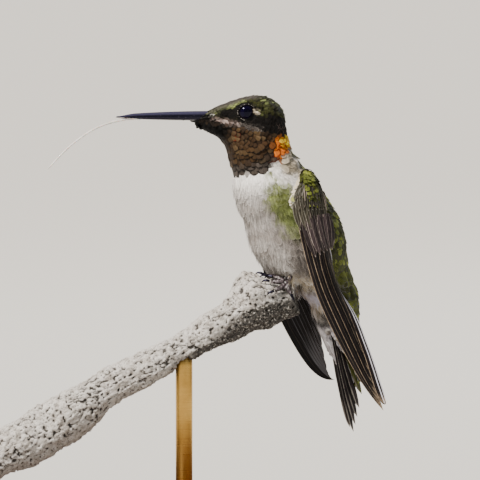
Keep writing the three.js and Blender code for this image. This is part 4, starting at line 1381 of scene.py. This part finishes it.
# %% Build the tail
TAIL_ROOT = np.array([8.4, 0, 37.5])
TAIL_SLOPE = math.radians(77)
TAIL_ROLL = math.radians(20)
TAIL_TENT = math.radians(30)  # each half slopes down from the middle like a tent
TAIL_CHANCES = (0.2, 0.9, 0.12, 0.93, 0.3)
MIDDLE_LENGTH = 13.4
OUTER_MORE = 6.0  # the outermost feather is longer by this much
tail_axis = np.array([math.cos(TAIL_SLOPE), 0, -math.sin(TAIL_SLOPE)])
tail_up = np.array([math.sin(TAIL_SLOPE), 0, math.cos(TAIL_SLOPE)])


def tail_feather(plumes, side, order, patch, rows=34, columns=8):
    rank = order / 4
    length = MIDDLE_LENGTH + OUTER_MORE * rank ** 0.7
    outward = np.array([0, side * math.cos(TAIL_TENT), 0]) - tail_up * math.sin(TAIL_TENT)
    face_out = np.array([0, side * math.sin(TAIL_TENT), 0]) + tail_up * math.cos(TAIL_TENT)
    w, a = grid_of(np.linspace(0, 1, rows + 1), np.linspace(-1, 1, columns + 1))
    half = (1.08 - 0.1 * rank) * np.minimum(1, 0.4 + 1.2 * w)
    half = half * vane_outline(w, base=0.8, round_from=0.74, tip=0.1)
    lateral = (0.7 + 0.2 * order) * (1 - w) + (0.62 + 2.0 * rank) * w
    height = (0.6 - 0.3 * order) * (1 - w) + (2.5 - 3 * rank ** 0.8) * w
    ridge = 0.06 * np.exp(-(a / 0.13) ** 2) * (1 - 0.8 * w) + 0.12 * (1 - a * a)
    points = (np.outer(lateral, [0, side, 0]) + np.outer(height, tail_up) + np.outer(a * half, outward)
              + np.outer(ridge, face_out))
    roll = np.array(Matrix.Rotation(TAIL_ROLL, 3, Vector(tail_axis)))
    down = length * (w - 0.015 * a * a * smooth(w, 0.6, 1))
    points = moved(body_to_world, points @ roll.T + np.outer(down, tail_axis) + TAIL_ROOT) * MM
    plumes.add(points, rows, columns, a, w, TAIL_CHANCES[order], patch, flip=side < 0)


# Painted highlight: the tail's pale edges and tips are light caught on blackish feathers that have no pale
# rims.
tail_material = vane_material("tail_keratin_vanes", "#0b090b", "#292225", "#b9b2a8", lead_edge=0.9,
                              edge_from=0.88, tip_light=0.4, gloss=0.6, back_edge="#c4bdb4", shaft_light=0.1)
green_material = vane_material("green_tail_vanes", "#23250f", "#5f6330", "#8d8c50", lead_edge=0.93,
                               edge_from=0.9)
tail_pieces = {}
for side, label in SIDES:
    for part, orders, cells, material in (("vanes", range(1, 5), 4, tail_material),
                                          ("middle_vane", range(1), 2, green_material)):
        plumes = Plumes("tail_%s_%s" % (label, part))
        for order in orders:
            tail_feather(plumes, side, order, atlas(order, cells))
        tail_pieces[part, label] = plumes.made(material)

# %% [markdown]
# ## Coverts of the tail
# Long silky feathers lie over the roots of the tail, whitish below and green above.  They are too long for
# the scattered coat, so each one is walked down the skin a step at a time, as the coat lies there, and its
# web is let down on both sides; each row lifts over the next like tiles.


# %% Drape long feathers down the skin
OUTSIDE = 12  # from the spine, well clear of the skin
SKIN_ENDS = 30.5  # below this height there is no skin to follow


def on_skin(point, rise):
    """The place on the outer surface nearest to a point, raised over it, and the surface's normal there."""
    spot, normal, _, _ = outer_tree.find_nearest(Vector(point) * MM)
    normal = np.array(normal)
    return np.array(spot) / MM + normal * rise, normal


def draped_vane(plumes, height, azimuth, length, width, chance, rows=12, columns=6):
    spine = np.array([np.interp(height, [30, 35, 40], [12, 10.5, 9.5]), 0, height])
    turn = math.radians(azimuth)
    start = spine + OUTSIDE * np.array([-math.cos(turn), -math.sin(turn), 0])
    start, spine = moved(body_to_world, np.vstack([start, spine])) * MM
    root, normal, _, _ = outer_tree.ray_cast(Vector(start), Vector(spine - start).normalized())
    root = point = np.array(root) / MM
    points = []
    along, across = grid_of(np.linspace(0, 1, rows + 1), np.linspace(-1, 1, columns + 1))
    for t in np.linspace(0, 1, rows + 1):
        if t == 0 or places(point[None])["height"][0] > SKIN_ENDS:
            point, normal = on_skin(point, 0.1 + 0.4 * t)
            heading = lie(places(point[None]), normal[None])[0]
        sideways = np.cross(normal, heading)
        half = width / 2 * float(vane_outline(t, base=0.2, round_from=0.5, tip=0.15))
        for a in np.linspace(-1, 1, columns + 1):
            corner = point + sideways * a * half - normal * 0.3 * abs(a * half) ** 1.5
            clear, outward = on_skin(corner, 0.08 + 0.3 * t)
            points.append(clear if (corner - clear) @ outward < 0 and t < 0.8 else corner)
        point = point + heading * length / rows
    left, low = unwrap(root[None])[0] - PATCH / 2
    plumes.add(np.array(points) * MM, rows, columns, across, along, chance, (left, low, PATCH, PATCH), True)


def tail_coverts(name, heights, azimuths, length, width, material):
    plumes = Plumes(name)
    for row, height in enumerate(heights):
        for azimuth in azimuths:
            luck = float(rng.random())
            shift = 0.5 * (row % 2) * azimuths.step
            draped_vane(plumes, height + 1.1 * (luck - 0.5), azimuth + shift, length * (0.9 + 0.2 * luck),
                        width, 0.9 * luck)
    return plumes.made(material)


silk_material = vane_material("silky_undertail_vanes", "#3b383d", "#d5d4dc", "#f4f3f8", barbs=16, slant=5,
                              edge_from=0.75, gloss=0.6, tip_light=0.3, back_edge="#cfcdd6",
                              streaking=(11.0, 1.5), root_dark=0.9)
rump_material = vane_material("green_rump_vanes", "#23250f", MOSS, LIME, barbs=20, slant=7, edge_from=0.8,
                              lead_edge=0.85, gloss=0.5, tip_light=0.9, back_edge="#4d5320")
coats.append(tail_coverts("coat_undertail_coverts", (37.6, 36.4, 35.2, 34.0, 32.8, 31.8), range(-66, 67, 11),
                          5.0, 1.3, silk_material))
coats.append(tail_coverts("coat_uppertail_coverts", (37.5, 36.0, 34.5, 33.0), range(108, 253, 24), 5.4, 1.9,
                          rump_material))

# %% [markdown]
# ## Bill and tongue
# The bill is two long halves of black horn, smooth as a beetle's back, with a ridge along the top and a slit
# of a nostril near the forehead.  It is built as rings swept along a nearly straight line.  The tongue is a
# pale wet tube that curls down out of the open tip.


# %% Sweep rings along a path
def circle(steps):
    return np.linspace(0, 2 * math.pi, steps, endpoint=False)


def face_outward(shape):
    bmesh.ops.recalc_face_normals(shape, faces=shape.faces)


def sewn_outward(shape):
    """Joins points that lie on each other, for a tube that closes on itself."""
    bmesh.ops.remove_doubles(shape, verts=shape.verts, dist=1e-7)
    face_outward(shape)


def swept(name, rings, closed_ends=True):
    """A tube through rings of points, all with the same number of points."""
    rings = np.asarray(rings)
    count, around = rings.shape[:2]
    points = rings.reshape(-1, 3)
    steps = [(i, (i + 1) % around) for i in range(around)]
    faces = [(j + i, j + k, j + around + k, j + around + i) for j in range(0, (count - 1) * around, around)
             for i, k in steps]
    if closed_ends:
        start, end, last = len(points), len(points) + 1, (count - 1) * around
        points = np.vstack([points, rings[0].mean(0), rings[-1].mean(0)])
        for i, k in steps:
            faces += [(start, k, i), (end, last + i, last + k)]
    mesh = edited(mesh_from(name, points, faces), face_outward)
    mesh.shade_smooth()
    return mesh


BILL_ROOT = -9.0
BILL_REACH = 17.2
BILL_HALF_WIDTH = 1.15
BILL_RISE = math.tan(math.radians(0.6))


def bill_half(name, upper, rows=90, columns=40):
    reach = BILL_REACH if upper else BILL_REACH - 1.7
    turn = circle(columns)
    sine, cosine = np.sin(turn), np.cos(turn)
    rings = []
    for t in np.linspace(0, 1, rows):
        taper = (1 - 0.55 * t * t) * np.sqrt(1 - 0.8 * smooth(t, 0.8, 1))
        y = BILL_HALF_WIDTH * taper * np.sign(cosine) * np.abs(cosine) ** 0.9
        deep = (1.05 if upper else 0.55) * taper
        round_side = deep * np.abs(sine) ** 0.85
        if upper:
            z = np.where(sine > 0, round_side + 0.1 * deep * bump(cosine, 0, 0.22), -0.04)
            y = y * (1 - 0.16 * bump(t, 0.06, 0.05) * bump(sine, 0.5, 0.28) * (sine > 0))  # the nostril
        else:
            z = np.where(sine < 0, -round_side, 0.0)
            y = 0.93 * y
        z = 0.15 + BILL_RISE * reach * t + z
        rings.append(np.stack([np.full(columns, BILL_ROOT - reach * t), y, z], 1))
    tip = rings[-1]
    middle = tip.mean(0)
    for share in (0.75, 0.45, 0.15):  # a rounded end
        rings.append(middle + (tip - middle) * share - np.array([0.28 * math.sqrt(1 - share * share), 0, 0]))
    mesh = swept(name, moved(head_to_world, np.array(rings)) * MM)
    set_floats(mesh, "upward", np.append(np.tile(sine if upper else 0 * turn - 1, len(rings)), (0, 0)))
    return mesh


def horn(name):
    """Black horn: dense keratin, polished by use, with growth lines along it and a violet sheen."""
    material, tree = new_material(name)
    lines = clouds(tree, 1.0, 5.0, (90.0, 90.0, 2200.0), Roughness=0.6)
    colour = ramp(tree, lines, (0.3, "#020203"), (0.6, "#07060a"), (0.8, "#100f16"))
    # Painted highlight: the upper side of the bill is laid lighter violet-grey, where light falls on it.
    ridge = span(tree, attribute(tree, "upward"), 0.25, 0.75, 0, 0.8)
    colour = blend(tree, ridge, colour, "#3a3850")
    colour = blend(tree, span(tree, clouds(tree, 3500.0, 2.0), 0.62, 0.72, 0, 0.3), colour, "#5b5766")
    finish_with(tree, Base_Color=colour, Roughness=span(tree, lines, 0.3, 0.8, 0.26, 0.42),
                Normal=relief(tree, lines, 0.25), IOR=KERATIN_IOR, Coat_Weight=0.12, Coat_Roughness=0.25,
                Specular_Tint=rgba("#cbc6ff"), Specular_IOR_Level=0.3)
    return material


bill_material = horn("black_horn_of_the_bill")
bill = {}
for half in ("upper", "lower"):
    name = "bill_%s_horn" % half
    bill[half] = new_object(name, bill_half(name, half == "upper"), bill_material)
print("bill", BILL_REACH, "mm long from inside the feathers")

# %% The tongue
TONGUE_RADIUS = 0.3
tongue_path = curve_through([(-22, 0, 0.1), (-24.4, 0, 0.05), (-26.6, 0, -0.35), (-28.9, 0, -1.0),
                             (-31.3, 0, -2.1), (-34.7, 0, -4.4), (-37.1, 0, -6.6), (-39.1, 0, -8.7)])
turn = circle(20)
rings = []
for t in np.linspace(0, 1, 110):
    heading = unit(tongue_path(min(t + 0.01, 1)) - tongue_path(max(t - 0.01, 0)))[0]
    upward = np.cross([0, 1, 0], heading)
    radius = TONGUE_RADIUS * (1 - 0.4 * t) * math.sqrt(max(1 - smooth(t, 0.93, 1.0) * 0.9, 0.03))
    radius = radius * (1 - 0.3 * bump(turn, math.pi / 2, 0.5) * smooth(t, 0.2, 0.5))  # a groove along the top
    sideways = np.outer(radius * np.cos(turn), [0, 1, 0])
    rings.append(tongue_path(t) + sideways + np.outer(radius * 0.9 * np.sin(turn), upward))
tongue_material, tree = new_material("wet_tongue_skin")
milk = clouds(tree, 900.0, 4.0)
finish_with(tree, Base_Color=ramp(tree, milk, (0.3, "#cfc9c4"), (0.7, "#f4f2ee")), Roughness=0.3, IOR=1.4,
            Normal=relief(tree, milk, 0.2), Coat_Weight=0.3, Subsurface_Weight=0.15,
            Subsurface_Scale=0.4 * MM)
tongue_mesh = swept("tongue_skin", moved(head_to_world, np.array(rings)) * MM)
tongue = new_object("tongue_skin", tongue_mesh, tongue_material)
print("tongue of", len(rings), "rings")

# %% [markdown]
# ## The eyes
# A hummingbird's eye looks black: a dark brown iris round a large pupil behind a clear wet cornea.  What
# gives it life is one crisp reflection and the ring of bare lid round it, set with tiny pale beads.

# %% What the eye is made of
eye_material, tree = new_material("wet_cornea_over_brown_iris")
angle = attribute(tree, "along")
# Painted reflection: the dark iris is laid deep indigo, as a blue sky would show in the wet cornea.
iris_with_sky_tint = ramp(tree, clouds(tree, 5200.0, 3.0), (0.3, "#04030f"), (0.7, "#0b061f"))
colour = blend(tree, span(tree, angle, 0.42, 0.5), "#04030c", iris_with_sky_tint)
colour = blend(tree, span(tree, angle, 0.8, 1.0), colour, "#050408")
finish_with(tree, Base_Color=colour, Roughness=0.05, IOR=1.36, Specular_IOR_Level=0.3,
            Specular_Tint=rgba("#cdd0ff"))
lid_material, tree = new_material("bare_lid_skin")
warts = node(tree, "ShaderNodeTexVoronoi", Vector=over_object(tree), Scale=4200.0).outputs[0]
finish_with(tree, Base_Color=ramp(tree, warts, (0.1, "#161312"), (0.5, "#070606")), Roughness=0.7,
            Normal=relief(tree, warts, 0.5, invert=True), Specular_IOR_Level=0.1)
bead_material, tree = new_material("pale_lid_beads")
chalk = clouds(tree, 6000.0, 2.0)
finish_with(tree, Base_Color=ramp(tree, chalk, (0.35, "#77726e"), (0.65, "#cbc6c1")), Roughness=0.45)

# %% Eyeballs, lids and beads
LID_RADIUS = 1.3  # the opening of the lids, a little over the part of the eye that shows
CORNER = 0.12  # how far the lids are drawn out at their front and back corners
BEADS = 24
BEAD_RADIUS = 0.052


def eyeball(name, centre, outward, side_way, up_way, rows=40, columns=48):
    """A ball whose front bulges a little as a cornea; along is the angle from the middle of the iris."""
    angle, turn = grid_of(math.pi * np.arange(rows + 1) / rows, circle(columns))
    radius = EYE_RADIUS * (1 + 0.03 * np.exp(-(angle / 0.55) ** 4))
    across = np.outer(np.cos(turn), side_way) + np.outer(np.sin(turn), up_way)
    points = centre + radius[:, None] * (np.outer(np.cos(angle), outward) + np.sin(angle)[:, None] * across)
    mesh = swept(name, points.reshape(rows + 1, columns, 3) * MM, False)
    set_floats(mesh, "along", angle)
    return edited(mesh, sewn_outward)


def lid_ring(name, centre, outward, side_way, up_way):
    """A rounded rim that lies on the ball."""
    around = circle(14)
    rings = []
    for turn in circle(72):
        opening = LID_RADIUS * (1 + CORNER * abs(math.cos(turn)) ** 6)
        sink = math.sqrt(max(EYE_RADIUS ** 2 - min(opening, EYE_RADIUS * 0.97) ** 2, 0.05))
        radial = math.cos(turn) * side_way + 0.97 * math.sin(turn) * up_way
        rings.append(centre + outward * (sink + 0.02) + radial * (opening + 0.06)
                     + np.outer(0.2 * np.cos(around), radial) + np.outer(0.17 * np.sin(around), outward))
    return edited(swept(name, np.array(rings + rings[:1]) * MM, False), sewn_outward)


def bead_ring(name, centre, outward, side_way, up_way):
    """Small rounded beads all round the outer edge of the lid, of uneven size."""
    def beads(shape):
        for k in range(BEADS):
            turn = 2 * math.pi * (k + 0.3 * math.sin(5 * k)) / BEADS
            stretch = 1 + CORNER * abs(math.cos(turn)) ** 6
            radial = math.cos(turn) * side_way * stretch + 0.97 * math.sin(turn) * up_way
            spot = Matrix.Translation(Vector(centre + outward * 0.88 + radial * (LID_RADIUS + 0.2)) * MM)
            size = BEAD_RADIUS * (1 + 0.35 * math.sin(3.1 * k)) * (1.15 if math.sin(turn) < 0.2 else 0.8)
            bmesh.ops.create_icosphere(shape, subdivisions=1, radius=size * MM,
                                       matrix=spot @ Matrix.Diagonal((1.3, 1, 1, 1)))
    mesh = edited(bpy.data.meshes.new(name), beads)
    mesh.shade_smooth()
    return mesh


eye_pieces = {}
for sign, label in SIDES:
    outward = np.array(head_turn.to_3x3() @ Vector((-0.03, sign, -0.06)).normalized())
    side_way = unit(np.cross(outward, [0, 0, 1])[None])[0]
    axes = np.array(eye_at[label]), outward, side_way, np.cross(side_way, outward)
    for part, build, material in (("eyeball", eyeball, eye_material), ("eyelid", lid_ring, lid_material),
                                  ("lid_beads", bead_ring, bead_material)):
        name = part + "_" + label
        eye_pieces[part, label] = new_object(name, build(name, *axes), material)
print("eyes of", round(2 * EYE_RADIUS, 2), "mm")

# %% [markdown]
# ## Legs, toes and claws
# The feet are tiny and almost useless for walking.  Their dark skin is armoured with overlapping plates
# along the top of each toe.  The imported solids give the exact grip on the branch; they are melted into
# smooth toes here, and the plates are drawn along them by the material.

# %% Feet and claws
foot_material, tree = new_material("scaled_foot_skin")
stretched = over_object(tree, (2600.0, 1300.0, 1300.0), (0, 0.5, 0.3))
plates = node(tree, "ShaderNodeTexVoronoi", Vector=stretched, Scale=1.0, Randomness=0.7).outputs[0]
colour = ramp(tree, plates, (0.1, "#8b8288"), (0.4, "#3f363a"), (0.75, "#0e0a0c"))
finish_with(tree, Base_Color=colour, Roughness=0.36, IOR=1.5,
            Normal=relief(tree, plates, 0.6, 0.2 * MM, True))
claw_material = horn("black_claw_horn")
feet, claws = {}, {}
for _, label in SIDES:
    name = "foot_%s_skin" % label
    foot_mesh = softened(name, ["leg_" + label, "foot_" + label], 0.1, 3, 0.1 * MM)
    feet[label] = new_object(name, foot_mesh, foot_material)
    for toe in ("inner", "middle", "outer", "hind"):
        claw = "claw_%s_%s" % (label, toe)
        claw_mesh = softened(claw + "_horn", [claw], 0.05, 3, 0.06 * MM)
        claws[claw] = new_object(claw + "_horn", claw_mesh, claw_material)
print("feet of", [len(foot.data.polygons) for foot in feet.values()], "faces")

# %% [markdown]
# ## The branch
# A dead twig end, bleached grey and crusted with lichen.  The bark has lengthwise furrows, round pits, and
# flaky plates with gaps between.  The solid gives the course and the knots; the skin of it is remeshed finely
# and pushed in and out by layered noise, and the material paints shade into the hollows and under the branch.

# %% Shape the bark
bark_mesh = softened("perch_bark", ["perch"], 0.24, 8)
points, normals = arrays(bark_mesh)
x, y, z = points.T / MM
rows = []
for p in points / MM:
    v = Vector((p[0] * 0.92 + p[2] * 0.38, p[1], p[2] * 0.92 - p[0] * 0.38))  # x runs along the branch
    along = Vector((v.x * 0.4, v.y, v.z))
    furrow = abs(noise.noise(along * 0.5 + Vector((9, 2, 4))) + 0.4 * noise.noise(along * 1.5))
    crack = max(0.0, 1 - furrow / 0.07)
    pit = max(0.0, noise.noise(v * 1.9 + Vector((3, 7, 1))) - 0.18)
    crust = noise.fractal(v * 1.3, 0.8, 2.2, 4)
    lumps = noise.noise(v * 0.3) * 0.5 + 0.3 * crust + 0.16 * noise.noise(v * 3.2)
    rows.append((lumps - 0.6 * crack - 1.5 * pit, crack, pit, crust))
swelling, crack, pit, crust = np.array(rows).T
knot = 0.9 * bump(x, 10.6, 1.2) * bump(y, -2.6, 1.8) * smooth(z, 43.5, 46)  # a peak beside the feet
# Painted shade: how far the bark faces down, and more towards its right end, darkens it in the material.
shade_side = -normals[:, 2] + 0.05 * (x - 4) + 0.25 * swelling
points += normals * (np.clip(0.7 * swelling, -0.9, 0.5) * MM)[:, None]
points[:, 2] += knot * MM
write_points(bark_mesh, points)
set_floats(bark_mesh, "painted_underside_shade", smooth(shade_side, 0.1, 0.75))
set_floats(bark_mesh, "painted_hollow_shade", np.clip(0.9 * crack + 3.0 * pit - 0.2 * crust, 0, 1))
print("bark has", len(bark_mesh.polygons), "faces")

# %% What bark gives the eye
bark_material, tree = new_material("lichened_dead_bark")
crusts = clouds(tree, 800.0, 8.0, Roughness=0.75)
grit = clouds(tree, 2300.0, 4.0, Roughness=0.65)
broad = clouds(tree, 170.0, 6.0, Roughness=0.65)
wood = ramp(tree, broad, (0.3, "#b3a9a2"), (0.5, "#d9d4ce"), (0.7, "#f3f0ec"))
lichen = ramp(tree, crusts, (0.36, "#5d564f"), (0.46, "#cfcac3"), (0.56, "#fbf9f6"))
shaded_speckle = ramp(tree, grit, (0.46, "#0d0b0a"), (0.56, "#3a352f"), (0.64, "#d9d5ce"))
colour = blend(tree, span(tree, grit, 0.3, 0.44, 0.85, 0), blend(tree, 0.6, wood, lichen), "#332c27")
# Painted shade in the cracks and pits.
colour = blend(tree, span(tree, attribute(tree, "painted_hollow_shade"), 0.15, 0.8, 0, 0.88), colour, "#231d19")
# Painted shade, dark and speckled, on the underside and towards the right end.
colour = blend(tree, times(tree, attribute(tree, "painted_underside_shade"), 0.9), colour, shaded_speckle)
rough_height = calc(tree, "MULTIPLY_ADD", crusts, 0.8, times(tree, grit, 0.6))
finish_with(tree, Base_Color=colour, Roughness=0.88, Normal=relief(tree, rough_height, 1.0, 0.9 * MM),
            Specular_IOR_Level=0.3)
bark = new_object("perch_bark", bark_mesh, bark_material)

# %% [markdown]
# ## The display stand
# The branch would fall over on its own, so a brass rod carries it, screwed into an oiled walnut base through
# a turned collar.  All three are plain, so that the bird is what one looks at.

# %% Brass and walnut
brass, tree = new_material("satin_turned_brass")
lines = clouds(tree, 1.0, 3.0, (60.0, 60.0, 9000.0))
tarnish = ramp(tree, clouds(tree, 150.0, 5.0), (0.3, "#a9803c"), (0.7, "#cfa75b"))
finish_with(tree, Base_Color=tarnish, Metallic=1.0, Roughness=span(tree, lines, 0.3, 0.7, 0.26, 0.42),
            Normal=relief(tree, lines, 0.15))
walnut, tree = new_material("oiled_walnut")
figure = clouds(tree, 1.0, 6.0, (14.0, 150.0, 150.0), Distortion=0.8)
pores = clouds(tree, 1.0, 3.0, (220.0, 3600.0, 3600.0))
colour = ramp(tree, figure, (0.32, "#3a2416"), (0.5, "#5c3d26"), (0.66, "#7b5636"))
finish_with(tree, Base_Color=blend(tree, span(tree, pores, 0.56, 0.68, 0, 0.6), colour, "#24150c"),
            Roughness=span(tree, pores, 0.4, 0.7, 0.4, 0.6), Normal=relief(tree, pores, 0.25, invert=True),
            Coat_Weight=0.15, Coat_Roughness=0.35)


# %% Turn the stand
def turned(name, solid, material, foot, head, steps=64):
    """An upright oval shape that fills a solid's box.

    The foot is pairs of an inset from the side and a height over the bottom, the head of an inset and a depth
    under the top.
    """
    low, high = box_mm(solid)
    middle, reach = (low + high) / 2, (high - low) / 2
    turn = circle(steps)
    profile = [(inset, low[2] + height) for inset, height in foot]
    profile += [(inset, high[2] - depth) for inset, depth in head]
    rings = []
    for inset, height in profile:
        x, y = ((reach[:2] - inset)[:, None] * [np.cos(turn), np.sin(turn)]) + middle[:2, None]
        rings.append(np.stack([x, y, np.full(steps, height)], 1))
    print(name, np.round(high - low, 1))
    return new_object(name, swept(name, np.array(rings) * MM), material)


rod = turned("stand_brass_rod", "stand_rod", brass, [(0.15, 0), (0, 0.15)], [(0, 3), (0.1, 0.1)])
collar = turned("stand_brass_collar", "stand_collar", brass,
                [(0.2, 0), (0, 0.2), (0, 0.7), (0.25, 0.95), (0.45, 1.05), (0.35, 1.25)],
                [(0.7, 0.45), (1.2, 0.1), (1.5, 0)])
base = turned("stand_walnut_base", "stand_base", walnut, [(0.5, 0), (0.15, 0.12), (0, 0.5)],
              [(0, 1.7), (0.1, 1.2), (0.35, 0.75), (0.75, 0.35), (1.25, 0.1), (1.9, 0), (12, 0)], 120)

# %% Close the frame
for piece in [skin, *coats, *wing_pieces.values(), *tail_pieces.values(), *bill.values(), tongue,
              *eye_pieces.values(), *feet.values(), *claws.values(), bark, rod, collar, base]:
    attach(piece, "root")
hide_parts("head", "neck", "trunk", "rump")
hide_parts("tongue")
for half, piece in bill.items():
    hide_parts("bill_" + half)
for _, label in SIDES:
    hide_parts("eye_" + label)
    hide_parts("leg_" + label, "foot_" + label)
    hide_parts("tail_" + label)
for (part, label), piece in wing_pieces.items():
    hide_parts("wing_%s_%s" % (label, part))
for claw, piece in claws.items():
    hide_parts(claw)
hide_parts("perch")
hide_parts("stand_rod")
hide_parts("stand_collar")
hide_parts("stand_base")
for model in (scale_model, loose_model):
    bpy.data.objects.remove(model)
